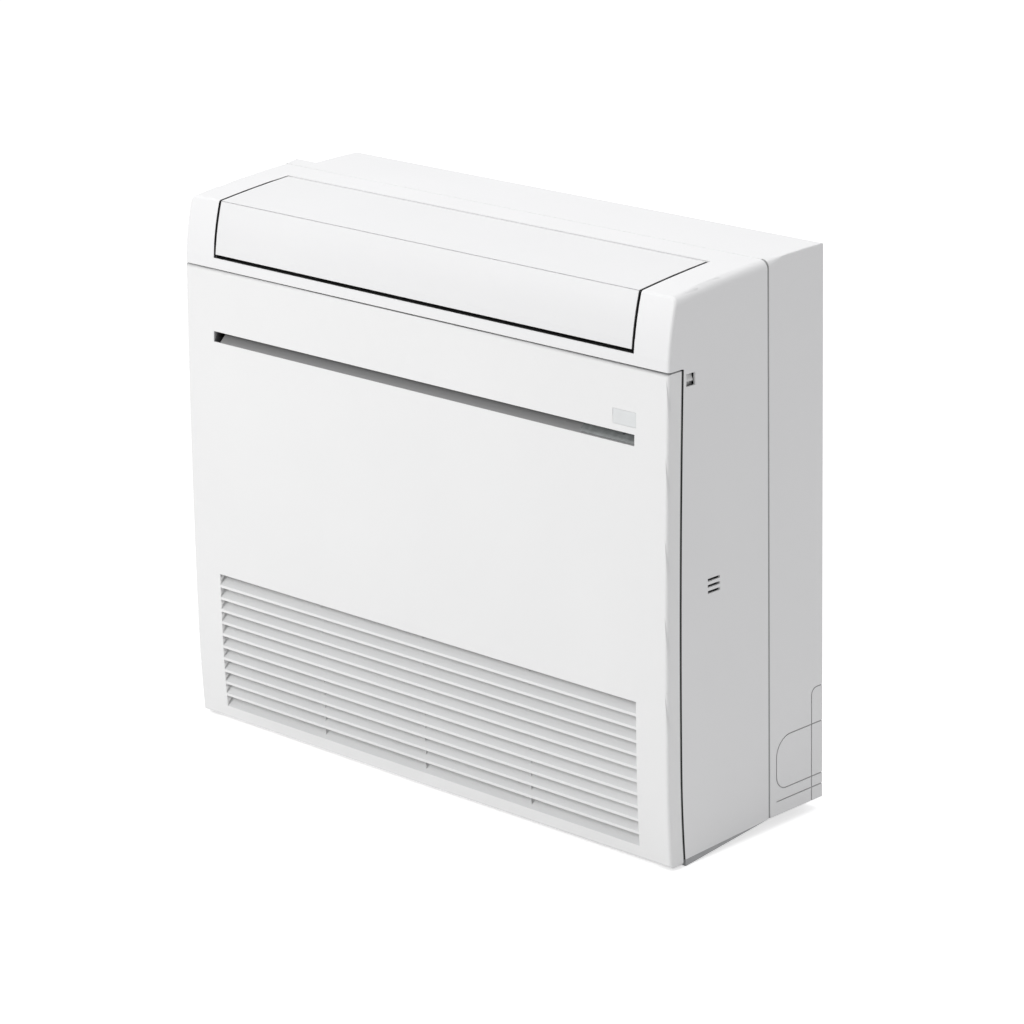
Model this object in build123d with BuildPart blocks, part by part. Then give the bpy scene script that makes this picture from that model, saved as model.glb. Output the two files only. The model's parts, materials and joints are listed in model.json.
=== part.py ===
"""Low floor-standing room air conditioner: the indoor unit with its outlet at the top.

Lengths are millimetres. X runs to the right as seen from the front, Y to the back and Z up.
The origin lies on the floor under the middle of the case. The front panel faces -Y.
"""
import os
from math import cos, radians, sin, sqrt

from build123d import *

os.makedirs("parts", exist_ok=True)

# Overall size
width = 700.0
height = 600.0
depth = 236.0
side = width / 2
back = depth / 2
front = -depth / 2

# Mouldings and fits
wall = 2.5
fit = 0.3  # between pieces that locate in each other
run = 0.06  # radial clearance of a pin or shaft that turns
corner = 3.5  # radius of the upright front corners
shoulder = 9.0  # radius along the side edges of the top

# Front skin: one arc below its fullest height and one above
fullest = 110.0
skin_radius_low = 1500.0
skin_radius_high = 11000.0

# Lower edges: the casings' edge rises a little to the seam, and the base stands out under it
hem_front = 8.0
hem_back = 13.0
base_front = -92.0

# Front panel
panel_bottom = 4.0
panel_heel = 3.0  # taken off its lower rear corners, which swing back as it opens
panel_top = 513.0
panel_depth = 19.0
panel_gap = 1.6  # all round the closed panel

# Mouth of the outlet, closed by two vanes that meet at the crease
mouth_low = 526.0
mouth_half = 304.0
crease_y = -98.0
crease_z = 586.5
crown_y = 2.0
brow_bulge = 1.6
crown_bulge = 0.8
deck_radius = 1770.0  # behind the crown the top is one arc, level at the back

# Front and rear casings meet at the seam; behind the step the rear one is narrower on the left
seam_y = 35.0
seam_groove = 0.7
step_y = 57.0
rear_left = -319.0
rear_edge = 1.2  # radius along the edges of the top behind the seam


def skin(z):
    """Y of the front skin at height z."""
    radius = skin_radius_low if z < fullest else skin_radius_high
    return front + radius - sqrt(radius**2 - (z - fullest) ** 2)


def skin_line(low, high, inset=0.0):
    """Draw the front skin between two heights, moved back by inset."""
    stops = [low, fullest, high] if low < fullest < high else [low, high]
    for start, end in zip(stops, stops[1:]):
        middle = (start + end) / 2
        ThreePointArc(
            (skin(start) + inset, start),
            (skin(middle) + inset, middle),
            (skin(end) + inset, end),
        )


def deck(y):
    """Height of the top at a place behind the crown."""
    return height - deck_radius + sqrt(deck_radius**2 - (back - y) ** 2)


def deck_line(start, end):
    """Draw the top between two places behind the crown."""
    middle = (start + end) / 2
    ThreePointArc((start, deck(start)), (middle, deck(middle)), (end, deck(end)))


def polar(centre, radius, angle):
    """Point at an angle in degrees from a centre in the YZ plane; 0 is to the back, 90 is up."""
    return (centre[0] + radius * cos(radians(angle)), centre[1] + radius * sin(radians(angle)))


def bulged(start, end, bulge):
    """Middle point of an arc from start to end that stands out by bulge to the left of its way."""
    run_y, run_z = end[0] - start[0], end[1] - start[1]
    length = sqrt(run_y**2 + run_z**2)
    return (
        (start[0] + end[0]) / 2 - bulge * run_z / length,
        (start[1] + end[1]) / 2 + bulge * run_y / length,
    )


def block(x, y, z, mode=Mode.ADD):
    """Box between a pair of limits along each axis."""
    with Locations(((x[0] + x[1]) / 2, (y[0] + y[1]) / 2, (z[0] + z[1]) / 2)):
        Box(x[1] - x[0], y[1] - y[0], z[1] - z[0], mode=mode)


lip = (skin(mouth_low), mouth_low)
crease = (crease_y, crease_z)
crown = (crown_y, deck(crown_y))


# ---------------------------------------------------------------- casings
# Side outline of the front casing: behind the panel, out to the skin above it, over the top.
case_low = (skin(hem_front) + panel_depth + panel_gap, hem_front)
brow_z = panel_top + panel_gap


def hem(y):
    """Height of the casings' lower edge."""
    share = min(1.0, (y - case_low[0]) / (seam_y - case_low[0]))
    return hem_front + share * (hem_back - hem_front)


with BuildSketch(Plane.YZ) as case_outline:
    with BuildLine():
        skin_line(hem_front, brow_z, panel_depth + panel_gap)
        Line((skin(brow_z) + panel_depth + panel_gap, brow_z), (skin(brow_z), brow_z))
        skin_line(brow_z, mouth_low)
        ThreePointArc(lip, bulged(lip, crease, brow_bulge), crease)
        ThreePointArc(crease, bulged(crease, crown, crown_bulge), crown)
        deck_line(crown_y, seam_y)
        Polyline((seam_y, deck(seam_y)), (seam_y, hem_back), case_low)
    make_face()

# The space inside the walls, from the front skin to the back, used by all that fits within
with BuildSketch(Plane.YZ) as body_outline:
    with BuildLine():
        skin_line(0, mouth_low)
        ThreePointArc(lip, bulged(lip, crease, brow_bulge), crease)
        ThreePointArc(crease, bulged(crease, crown, crown_bulge), crown)
        deck_line(crown_y, back)
        Polyline((back, height), (back, 0), (skin(0), 0))
    make_face()
with BuildSketch(Plane.YZ) as body_inside:
    offset(body_outline.sketch_local, amount=-wall, kind=Kind.INTERSECTION)
with BuildSketch(Plane.YZ) as room_inside:
    offset(body_outline.sketch_local, amount=-wall - fit, kind=Kind.INTERSECTION)

# Frame behind the panel: a flange that the screws go through
frame_y = -90.0
frame_inner = side - wall - 12.5
frame_top = panel_top - 10.0

# Screws that hold the front casing to the base and to the duct, and the panel's hinge line
screw_x = side - wall - fit - 6.0
screw_low = 40.0
lug_z = 480.0
screw_radius = 1.5
screw_clear = 0.1
hinge_y = -104.0
hinge_z = 10.0

# Snap hooks of the panel look out of a hole in each side
hook_z = 502.0
hook_y = -79.5
hook_hole_y = (hook_y - 6.5, hook_y + 6.5)
hook_hole_z = (hook_z - 6.5, hook_z + 6.5)
hook_tall = 15.0
hook_room = 9.0
hook_window = (hook_z - hook_tall / 2 - 4, brow_z)
edge_relief = 1.3
lip_inner = skin(mouth_low) + 11.0

# Three slots in front of the room sensor
sensor_y = -48.0
sensor_z = 286.0
sensor_slot = (18.0, 3.0)
sensor_pitch = 6.3

def top_flanks(part, half):
    """Edges along both sides of the top, on a body of the given half width."""
    return part.edges().filter_by(
        lambda e: abs(abs(e.center().X) - half) < 0.01
        and e.center().Z > crease_z
        and crease_y < e.center().Y < seam_y - 1
    )


def top_sides(part):
    """Edges of a hollow along both sides of its top."""
    return part.edges().filter_by(
        lambda e: abs(abs(e.center().X) - side + wall) < 0.01
        and e.center().Z > crease_z - wall
        and abs(e.tangent_at(0.5).Y) > 0.5
    )


# The hollow behind the front casing's skin, rounded like the outside
with BuildPart() as casing_room:
    with BuildSketch(Plane.YZ):
        add(body_inside.sketch_local)
        with Locations((seam_y + 1, 0)):
            Rectangle(depth, 3 * height, align=(Align.MIN, Align.CENTER), mode=Mode.SUBTRACT)
    extrude(amount=side - wall, both=True)
    fillet(top_sides(casing_room), shoulder - wall)

with BuildPart() as front_casing:
    with BuildSketch(Plane.YZ):
        add(case_outline.sketch_local)
    extrude(amount=side, both=True)
    fillet(top_flanks(front_casing, side), shoulder)
    brow_corners = front_casing.edges().filter_by(
        lambda e: abs(abs(e.center().X) - side) < 0.01
        and brow_z < e.center().Z < crease_z
        and e.center().Y < crease_y
    )
    fillet(brow_corners, corner)
    add(casing_room.part, mode=Mode.SUBTRACT)
    block((-side + wall, side - wall), (front, seam_y + 1), (0, brow_z), Mode.SUBTRACT)
    # Flange behind the panel, hung from a shelf under the brow
    across = (-side + wall / 2, side - wall / 2)
    block(across, (skin(brow_z) + wall / 2, frame_y + wall), (brow_z, brow_z + wall))
    block(across, (frame_y, frame_y + wall), (frame_top, brow_z + wall))
    for way in (-1, 1):
        limits = sorted((way * frame_inner, way * across[1]))
        block(limits, (frame_y, frame_y + wall), (hinge_z + 6, brow_z))
        # Room in the flange for the panel's hook
        limits = sorted((way * (side - wall), way * (side - wall - hook_room)))
        block(limits, (frame_y - 1, frame_y + wall + 1), hook_window, Mode.SUBTRACT)
    # Between the duct's cheeks the flange makes way for the stabiliser
    clear = (-mouth_half - 2, mouth_half + 2)
    block(clear, (skin(brow_z) + 7, frame_y + wall + 1), (frame_top - 1, brow_z + wall + 1), Mode.SUBTRACT)
    # Lip that turns in under the vanes, and the mouth itself
    block(across, (skin(mouth_low) + wall / 2, lip_inner), (mouth_low - wall, mouth_low))
    block((-mouth_half, mouth_half), (front - 5, crown_y), (mouth_low, height + 5), Mode.SUBTRACT)
    # Its rear edge is thinned from below, where the top vane's end swings past
    with BuildSketch(Plane.YZ):
        under = crown[1] - wall
        Polygon(
            (crown_y - 1, under - 1), (crown_y + edge_relief + 1, under - 1), (crown_y - 1, under + edge_relief + 1),
            align=None,
        )
    extrude(amount=mouth_half, both=True, mode=Mode.SUBTRACT)
    # Screw holes in the flange, holes that show the hooks, slots in front of the room sensor
    with Locations(*[(way * screw_x, frame_y, z) for way in (-1, 1) for z in (screw_low, lug_z)]):
        Cylinder(screw_radius + 0.7, 12, rotation=(90, 0, 0), mode=Mode.SUBTRACT)
    block((-side - 1, side + 1), hook_hole_y, hook_hole_z, Mode.SUBTRACT)
    with BuildSketch(Plane.YZ.offset(side + 1)):
        with Locations(*[(sensor_y, sensor_z + n * sensor_pitch) for n in (-1, 0, 1)]):
            Rectangle(*sensor_slot)
    extrude(amount=-wall - 2, mode=Mode.SUBTRACT)
    # Groove along the upright seams
    rims = front_casing.edges().filter_by(Axis.Z).filter_by(
        lambda e: abs(abs(e.center().X) - side) < 0.01 and abs(e.center().Y - seam_y) < 0.01
    )
    chamfer(rims, seam_groove)
    front_casing.part.label = "front_casing"
export_step(front_casing.part, "parts/front_casing.step")


# Rear casing: knock-outs are scored in its sides near the floor
score_wide = 1.3
score_deep = 1.0
pipe_front = 46.0  # where the pipe knock-out's outline starts
pipe_low = 40.0
pipe_high = 97.0
pipe_corners = (22.0, 15.0)
strip_front = 101.0
strip_high = 136.0
strip_corner = 8.0
sill_z = 28.0
knock_inset = 6.0  # from the step to the outlines on the left

# Leaves that stand in behind the front casing's sides and top
leaf_deep = 4.0
leaf_root = 3.0
leaf_top = deck(seam_y - leaf_deep) - wall - fit
leaf_inner = 310.0

# Feet under the rear casing, out of sight
foot_half = 25.0
foot_places = (-250.0, 250.0)
foot_y = (seam_y + 6.0, back - 8.0)

# Wall plate and its pocket in the back
plate_half = 240.0
plate_low = 500.0
plate_high = 576.0
plate_thick = 1.6
plate_pocket = 6.0  # leaves room for screw heads behind the plate
plate_holes = (400.0, 40.0)  # spacing
plate_hole_radius = 2.75
hook_half = 12.0  # half width of each hanging hook
hook_places = (-210.0, 210.0)
rest_places = (-120.0, 0.0, 120.0)

with BuildPart() as rear_room:
    with BuildSketch(Plane.YZ):
        add(body_inside.sketch_local)
        with Locations((seam_y - 1, hem_back + wall)):
            Rectangle(depth, height, align=(Align.MIN, Align.MIN), mode=Mode.INTERSECT)
    extrude(amount=side - wall, both=True)
    block((-side, rear_left + wall), (step_y - wall, back), (0, height), Mode.SUBTRACT)
    fillet(top_sides(rear_room), shoulder - wall)

with BuildPart() as rear_casing:
    with BuildSketch(Plane.YZ):
        with BuildLine():
            deck_line(seam_y, back)
            Polyline((back, height), (back, hem_back), (seam_y, hem_back), (seam_y, deck(seam_y)))
        make_face()
    extrude(amount=side, both=True)
    block((-side - 1, rear_left), (step_y, back + 1), (0, height + 1), Mode.SUBTRACT)
    fillet(
        rear_casing.edges().filter_by(
            lambda e: e.center().Z > deck(seam_y) - 0.5 and e.center().Y > seam_y + 1
        ),
        rear_edge,
    )
    # The front casing's round shoulders run out between the seam and the step
    for way in (-1, 1):
        for y, radius in ((seam_y - 0.01, shoulder), (step_y, rear_edge - 0.3)):
            with BuildSketch(Plane.XZ.offset(-y)):
                top = deck(y)
                middle = (way * (side - radius + radius * sqrt(0.5)), top - radius + radius * sqrt(0.5))
                with BuildLine():
                    Polyline(
                        (way * (side - radius), top),
                        (way * (side - radius), top + 1),
                        (way * (side + 1), top + 1),
                        (way * (side + 1), top - radius),
                        (way * side, top - radius),
                    )
                    ThreePointArc((way * side, top - radius), middle, (way * (side - radius), top))
                make_face()
        loft(mode=Mode.SUBTRACT)
    add(rear_room.part, mode=Mode.SUBTRACT)
    # Pad behind the pocket of the wall plate, then the pocket and the slots for its hooks
    block(
        (-plate_half - 4, plate_half + 4),
        (back - plate_pocket - wall, back - wall),
        (plate_low - 4, plate_high + 4),
    )
    block(
        (-plate_half - 1, plate_half + 1),
        (back - plate_pocket, back + 1),
        (plate_low - 1, plate_high + 1),
        Mode.SUBTRACT,
    )
    for place in hook_places:
        block(
            (place - hook_half - 1, place + hook_half + 1),
            (back - plate_pocket - wall - 1, back),
            (plate_high - 9, plate_high - 2),
            Mode.SUBTRACT,
        )
    # Rests that the plate's lower edge leans on
    for place in rest_places:
        block(
            (place - 8, place + 8),
            (back - plate_pocket - 1, back - plate_thick - fit),
            (plate_low + 4, plate_low + 14),
        )
    # Leaves behind the front casing's sides and top, each on a root behind the seam
    root_y = (seam_y + 0.5, seam_y + leaf_root)
    leaf_y = (seam_y - leaf_deep, seam_y + leaf_root)
    for way in (-1, 1):
        outer = side - wall - fit
        tall = (hem_back + 1, leaf_top - shoulder)
        block(sorted((way * (outer - wall), way * outer)), leaf_y, tall)
        block(sorted((way * (outer - wall), way * (side - wall / 2))), root_y, tall)
        flat = sorted((way * leaf_inner, way * (outer - shoulder)))
        block(flat, leaf_y, (leaf_top - wall, leaf_top))
        block(flat, root_y, (leaf_top - wall, leaf_top + fit + wall / 2))
    for place in foot_places:
        block((place - foot_half, place + foot_half), foot_y, (0, hem_back + wall / 2))
    # Scored outlines of the knock-outs, on both sides
    for way, flank, first in ((1, side, pipe_front), (-1, rear_left, step_y + knock_inset)):
        with BuildSketch(Plane.YZ.offset(flank)):
            with BuildLine():
                FilletPolyline(
                    (back + 2, pipe_high), (first, pipe_high), (first, pipe_low), (back + 2, pipe_low),
                    radius=pipe_corners,
                )
            trace(line_width=score_wide)
            with BuildLine():
                FilletPolyline(
                    (back + 2, strip_high), (strip_front, strip_high), (strip_front, -2), radius=strip_corner
                )
            trace(line_width=score_wide)
            with BuildLine():
                Line((first, sill_z), (back + 2, sill_z))
            trace(line_width=score_wide)
        extrude(amount=-way * score_deep, mode=Mode.SUBTRACT)
    # Groove of the seam, up each side and round the shoulder
    bend_z = deck(seam_y) - shoulder
    for way in (-1, 1):
        with BuildSketch(Plane.XY.offset(bend_z)) as groove:
            Polygon(
                (way * (side - seam_groove), seam_y),
                (way * (side + seam_groove), seam_y),
                (way * (side + seam_groove), seam_y + 2 * seam_groove),
                align=None,
            )
        extrude(amount=-bend_z, mode=Mode.SUBTRACT)
        bend = Axis((way * (side - shoulder), 0, bend_z), (0, -way, 0))
        revolve(groove.sketch, axis=bend, revolution_arc=90, mode=Mode.SUBTRACT)
    rear_casing.part.label = "rear_casing"
export_step(rear_casing.part, "parts/rear_casing.step")


# Wall plate: pressed sheet with rolled hooks along its upper edge
with BuildPart() as wall_plate:
    with BuildSketch(Plane.XZ.offset(-back)):
        with Locations((0, (plate_low + plate_high) / 2)):
            RectangleRounded(2 * plate_half, plate_high - plate_low, 6)
            with GridLocations(plate_holes[0], plate_holes[1], 2, 2):
                Circle(plate_hole_radius, mode=Mode.SUBTRACT)
            with GridLocations(120, 0, 3, 1):
                Rectangle(60, 12, mode=Mode.SUBTRACT)
    extrude(amount=plate_thick)
    hook_back = back - plate_pocket - wall - fit
    for place in hook_places:
        with BuildSketch(Plane.YZ.offset(place)):
            Polygon(
                (back - plate_thick, plate_high - 8),
                (hook_back - plate_thick, plate_high - 8),
                (hook_back - plate_thick, plate_high - 1),
                (hook_back, plate_high - 1),
                (hook_back, plate_high - 8 + plate_thick),
                (back - plate_thick, plate_high - 8 + plate_thick),
                align=None,
            )
        extrude(amount=hook_half, both=True)
    wall_plate.part.label = "wall_plate"
export_step(wall_plate.part, "parts/wall_plate.step")


# ---------------------------------------------------------------- base
base_half = side - 1.0
base_inset = 30.0  # outside it the underside rises to the seam
base_floor = 3.0
base_frame = (base_front + 14.0, seam_y - 4.0)  # the open cells lie between these
rib_places = (-200.0, 0.0, 150.0)
hinge_pin = 2.0
hinge_ear = (336.0, 340.0)
post_wide = (side - wall - fit - 12.0, side - wall - fit)
post_deep = (frame_y + wall, frame_y + wall + 8.0)
pan_floor = 52.0
shelf_x = (262.0, 341.0)  # level place under the electrical box
shelf_y = (-70.0, -20.0)
shelf_z = 12.0

with BuildPart() as base_plate:
    base_back = seam_y - fit
    with BuildSketch(Plane.YZ):
        Polygon(
            (base_front, 0), (base_front, hem(base_front)), (base_back, hem(base_back)),
            (base_back, hem(base_back) - 0.8), align=None,
        )
    extrude(amount=base_half, both=True)
    block((base_inset - base_half, base_half - base_inset), (base_front, base_back), (0, hem_front))
    cells = (base_inset + 4 - base_half, *rib_places, shelf_x[0] + 3)
    for low, high in zip(cells, cells[1:]):
        block((low + 3, high - 3), base_frame, (base_floor, hem_back + 1), Mode.SUBTRACT)
    block(shelf_x, shelf_y, (hem_front - 2, shelf_z))
    # Ribs that carry the drain pan
    for place in rib_places:
        with BuildSketch(Plane.YZ.offset(place)):
            Polygon((-70, base_floor), (-62, pan_floor), (18, pan_floor), (26, base_floor), align=None)
            with Locations((-22, 28)):
                Rectangle(50, 22, mode=Mode.SUBTRACT)
        extrude(amount=wall / 2, both=True)
    for way in (-1, 1):
        # Posts that the casing's lower screws bite into
        block(sorted((way * post_wide[0], way * post_wide[1])), post_deep, (hem_front - 2, screw_low + 8))
        with Locations((way * screw_x, post_deep[0] + 3, screw_low)):
            Cylinder(screw_radius + screw_clear, 12, rotation=(90, 0, 0), mode=Mode.SUBTRACT)
        # Ears for the panel's hinge pins
        with BuildSketch(Plane.YZ.offset(way * hinge_ear[0])):
            Polygon(
                (base_front + 12, hinge_z - 4.5),
                (hinge_y, hinge_z - 4.5),
                (hinge_y, hinge_z + 4.5),
                (base_front + 12, hinge_z + 4.5),
                align=None,
            )
            with Locations((hinge_y, hinge_z)):
                Circle(4.5)
                Circle(hinge_pin + run, mode=Mode.SUBTRACT)
        extrude(amount=way * (hinge_ear[1] - hinge_ear[0]))
    base_plate.part.label = "base_plate"
export_step(base_plate.part, "parts/base_plate.step")


# ---------------------------------------------------------------- front panel
slot_low = 434.0
slot_high = 449.0
slot_half = 306.0
slot_deep = 14.0
slot_ramp_left = -297.0
grille_low = 18.0
grille_high = 172.0
grille_half = 308.0
openings = 11
pitch = (grille_high - grille_low) / openings
slat_lip = 2.6
slat_deep = 10.5
slat_rise = 10.5
slat_back = front + slat_deep + 3.5
mullions = (-154.0, 0.0, 154.0)
window_x = (277.0, 308.0)
window_z = (452.5, 468.0)
window_deep = 1.0
lens_x = (232.0, 306.0)
lens_thick = 1.6
lamp_places = (286.0, 302.0)
lamp_radius = 1.9


def ramp(z, lip_tall):
    """Draw one louvre in side view: an upright lip on the skin and a ramp that rises behind it."""
    y = skin(z)
    Polygon(
        (y, z - lip_tall / 2),
        (y, z + lip_tall / 2),
        (y + slat_deep, z + lip_tall / 2 + slat_rise),
        (y + slat_deep + 1.9, z + lip_tall / 2 + slat_rise),
        (y + slat_deep + 1.9, z + slat_rise - 0.6),
        (y + 2.2, z - lip_tall / 2),
        align=None,
    )


# The slot's own ramp: its upper face and its direction carry the display lens
slot_foot = (skin(slot_low), slot_low)
slot_peak = (skin(slot_low) + slot_deep, slot_high - 3.0)

with BuildPart() as front_panel:
    with BuildSketch(Plane.YZ):
        with BuildLine():
            skin_line(panel_bottom, panel_top)
            heel = (skin(panel_bottom) + panel_depth - panel_heel, panel_bottom)
            heel_top = panel_bottom + panel_heel
            skin_line(heel_top, panel_top, panel_depth)
            Polyline((skin(panel_bottom), panel_bottom), heel, (skin(heel_top) + panel_depth, heel_top))
            Line((skin(panel_top), panel_top), (skin(panel_top) + panel_depth, panel_top))
        make_face()
    extrude(amount=side, both=True)
    rim = front_panel.edges().filter_by(lambda e: e.center().Y < skin(e.center().Z) + 1.5)
    fillet(rim, radius=corner)
    # Open back: walls all round, a shorter one along the bottom
    with BuildSketch(Plane.YZ):
        with BuildLine():
            skin_line(panel_bottom + wall, panel_top - wall, wall)
            skin_line(panel_bottom + wall, panel_top - wall, panel_depth + 2)
            for z in (panel_bottom + wall, panel_top - wall):
                Line((skin(z) + wall, z), (skin(z) + panel_depth + 2, z))
        make_face()
    extrude(amount=side - wall, both=True, mode=Mode.SUBTRACT)
    block((-side + wall, side - wall), (hinge_y + 2, front + 2 * panel_depth), (0, panel_bottom + wall), Mode.SUBTRACT)
    for way in (-1, 1):
        limits = sorted((way * (side - wall), way * (hinge_ear[0] - 6)))
        block(limits, (skin(panel_bottom) + wall + 1, hinge_y + 4), (0, panel_bottom + wall), Mode.SUBTRACT)
    # A shallower top wall where the outlet duct comes close behind it
    clear = (-mouth_half - 3, mouth_half + 3)
    block(clear, (skin(panel_top) + 9, front + 2 * panel_depth), (panel_top - wall - 1, panel_top + 1), Mode.SUBTRACT)
    # Slot across the upper part, with a ramp inside that stops short on the left
    block((-slot_half, slot_half), (front - 5, skin(slot_low) + wall + 1), (slot_low, slot_high), Mode.SUBTRACT)
    with BuildSketch(Plane.YZ.offset(slot_ramp_left)):
        Polygon(
            (slot_foot[0] + 0.8, slot_foot[1] - 1.2),
            (slot_foot[0] + 0.8, slot_foot[1]),
            slot_peak,
            (slot_peak[0] + 2, slot_peak[1]),
            (slot_peak[0] + 2, slot_peak[1] - 1.5),
            (slot_foot[0] + 3.5, slot_foot[1] - 1.2),
            align=None,
        )
    extrude(amount=slot_half + wall - slot_ramp_left)
    for way in (-1, 1):
        limits = sorted((way * slot_half, way * (slot_half + 2)))
        block(limits, (skin(slot_low) + wall / 2, slot_peak[0] + 2), (slot_low - 1.2, slot_high + 2))
    block((-slot_half, slot_half), (skin(slot_high) + wall / 2, skin(slot_high) + 9), (slot_high, slot_high + 2))
    # Grille: a window, its louvres, end walls and mullions behind
    through = (front - 5, skin(grille_low) + wall + 1)
    block((-grille_half, grille_half), through, (grille_low, grille_high), Mode.SUBTRACT)
    with BuildSketch(Plane.YZ.offset(-grille_half - 1)):
        ramp(grille_low - slat_lip / 2, slat_lip)
        for n in range(1, openings):
            ramp(grille_low + n * pitch, slat_lip)
    extrude(amount=2 * grille_half + 2)
    ends = (grille_low - 1, grille_high + 1)
    for way in (-1, 1):
        with BuildSketch(Plane.YZ.offset(way * grille_half)):
            with BuildLine():
                skin_line(*ends, wall / 2)
                Polyline(
                    (skin(ends[0]) + wall / 2, ends[0]), (slat_back, ends[0]), (slat_back, ends[1]),
                    (skin(ends[1]) + wall / 2, ends[1]),
                )
            make_face()
        extrude(amount=way * 2)
    for place in mullions:
        block((place - 1, place + 1), (front + 6, slat_back), ends)
    # Recess of the receiver window
    block(window_x, (front, skin(window_z[0]) + window_deep), window_z, Mode.SUBTRACT)
    # Snap hooks: an arm behind each side wall with a barb that shows in the casing's hole
    for way in (-1, 1):
        arm = (side - wall - fit - 6.0, side - wall - fit - 3.0)
        low, high = hook_z - hook_tall / 2, hook_z + hook_tall / 2
        root_y = skin(hook_z) + panel_depth
        block(sorted((way * arm[0], way * (side - wall / 2))), (root_y - 6, root_y), (low, high))
        block(sorted((way * arm[0], way * arm[1])), (root_y - 1, hook_hole_y[1] + 1), (low, high))
        with BuildSketch(Plane.XZ.offset(-hook_hole_y[0] + 0.5)):
            Polygon(
                (way * (arm[1] - 0.5), hook_z + 6.5),
                (way * (arm[1] + 3.0), hook_z - 1),
                (way * (arm[1] + 3.0), hook_z - 2.5),
                (way * (arm[1] - 0.5), hook_z - 2.5),
                align=None,
            )
        extrude(amount=-(hook_hole_y[1] - hook_hole_y[0]))
        # Hinge pin that reaches in from the side wall through the base's ear
        with Locations(
            Plane.YZ.offset(way * (side - wall / 2)) * Location((hinge_y, hinge_z, 0), (0, 0, 0))
        ):
            Cylinder(
                hinge_pin,
                side - wall / 2 - hinge_ear[0] + 1.5,
                align=(Align.CENTER, Align.CENTER, Align.MAX if way > 0 else Align.MIN),
            )
    front_panel.part.label = "front_panel"
export_step(front_panel.part, "parts/front_panel.step")


# Display lens on the right end of the slot's ramp, with two lamps through it
ramp_run = (slot_peak[0] - slot_foot[0] - 0.8, slot_peak[1] - slot_foot[1])
ramp_length = sqrt(ramp_run[0] ** 2 + ramp_run[1] ** 2)
ramp_along = (0, ramp_run[0] / ramp_length, ramp_run[1] / ramp_length)
lens_plane = Plane(
    origin=(0, slot_foot[0] + 0.8, slot_foot[1]),
    x_dir=(1, 0, 0),
    z_dir=(0, -ramp_along[2], ramp_along[1]),
)
with BuildPart() as display_lens:
    with BuildSketch(lens_plane):
        with Locations(((lens_x[0] + lens_x[1]) / 2, ramp_length / 2)):
            RectangleRounded(lens_x[1] - lens_x[0], ramp_length - 3, 1.2)
        with Locations(*[(place, ramp_length * 0.6) for place in lamp_places]):
            Circle(lamp_radius + 0.05, mode=Mode.SUBTRACT)
    extrude(amount=lens_thick)
    display_lens.part.label = "display_lens"
export_step(display_lens.part, "parts/display_lens.step")

with BuildPart() as indicator_lamps:
    with BuildSketch(lens_plane):
        with Locations(*[(place, ramp_length * 0.6) for place in lamp_places]):
            Circle(lamp_radius)
    extrude(amount=lens_thick + 0.4)
    indicator_lamps.part.label = "indicator_lamps"
export_step(indicator_lamps.part, "parts/indicator_lamps.step")

with BuildPart() as receiver_window:
    with BuildSketch(Plane.YZ.offset(window_x[0] + 0.15)):
        with BuildLine():
            skin_line(window_z[0] + 0.15, window_z[1] - 0.15, 0.1)
            flat = skin(window_z[0]) + window_deep
            Line((skin(window_z[0] + 0.15) + 0.1, window_z[0] + 0.15), (flat, window_z[0] + 0.15))
            Line((flat, window_z[0] + 0.15), (flat, window_z[1] - 0.15))
            Line((flat, window_z[1] - 0.15), (skin(window_z[1] - 0.15) + 0.1, window_z[1] - 0.15))
        make_face()
    extrude(amount=window_x[1] - window_x[0] - 0.3)
    receiver_window.part.label = "receiver_window"
export_step(receiver_window.part, "parts/receiver_window.step")


# ---------------------------------------------------------------- outlet duct
fan_centre = (30.0, 385.0)
fan_radius = 46.0
fan_left = -298.0
fan_right = 226.0
tongue = polar(fan_centre, fan_radius + 7.0, 150)
plate_end = (lip_inner + 0.9, mouth_low - wall - 2.5)
plate_run = (plate_end[0] - tongue[0], plate_end[1] - tongue[1])
plate_length = sqrt(plate_run[0] ** 2 + plate_run[1] ** 2)
along = (plate_run[0] / plate_length, plate_run[1] / plate_length)
cheek_thick = 1.9
cheek_x = mouth_half - 0.2  # outer face of each cheek
cheek_inner = cheek_x - cheek_thick
fan_wall = (234.0, 236.5)
ledge = 430.0  # height of the step where the duct widens over the motor
shaft_hole = 14.0
scroll_end = (crown_y + 3.0, crown[1] - wall - 3.5)

# Pivots of the vanes and the radius of the bead that each one turns on
vane_beads = {"front": 5.5, "top": 4.0}
vane_pin = 1.8
front_pivot = (skin(mouth_low) + 6.7, mouth_low + 11.0)
top_pivot = (crown_y - 0.5 - vane_beads["top"], crown[1] - vane_beads["top"] - 1.5)
inner_pivot = (-50.0, 552.0)
vane_pivots = {"front": front_pivot, "top": top_pivot, "inner": inner_pivot}
vane_half = cheek_inner - 0.4


def over(t, n):
    """Point in the YZ plane at t along the stabiliser from its tongue and n above its face."""
    return (tongue[0] + t * along[0] + n * along[1], tongue[1] + t * along[1] - n * along[0])


def rod(x, centre, radius, mode=Mode.ADD):
    """Cylinder along X between two limits."""
    with Locations(((x[0] + x[1]) / 2, centre[0], centre[1])):
        Cylinder(radius, x[1] - x[0], rotation=(0, 90, 0), mode=mode)


with BuildSketch(Plane.YZ) as cheek_outline:
    Polygon(
        over(plate_length, -5),
        (over(plate_length, -5)[0], mouth_low - wall - 0.5),
        (lip_inner + 0.5, mouth_low - wall - 0.5),
        (lip_inner + 0.5, mouth_low + 0.5),
        (front, mouth_low + 0.5),
        (front, height),
        (scroll_end[0] + 3, height),
        (42, 584),
        (85, 549),
        (101, 500),
        (101, 425),
        (90, 350),
        (60, 328),
        (10, 328),
        (-24, 400),
        over(-5, -5),
        align=None,
    )
    add(room_inside.sketch_local, mode=Mode.INTERSECT)

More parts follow.
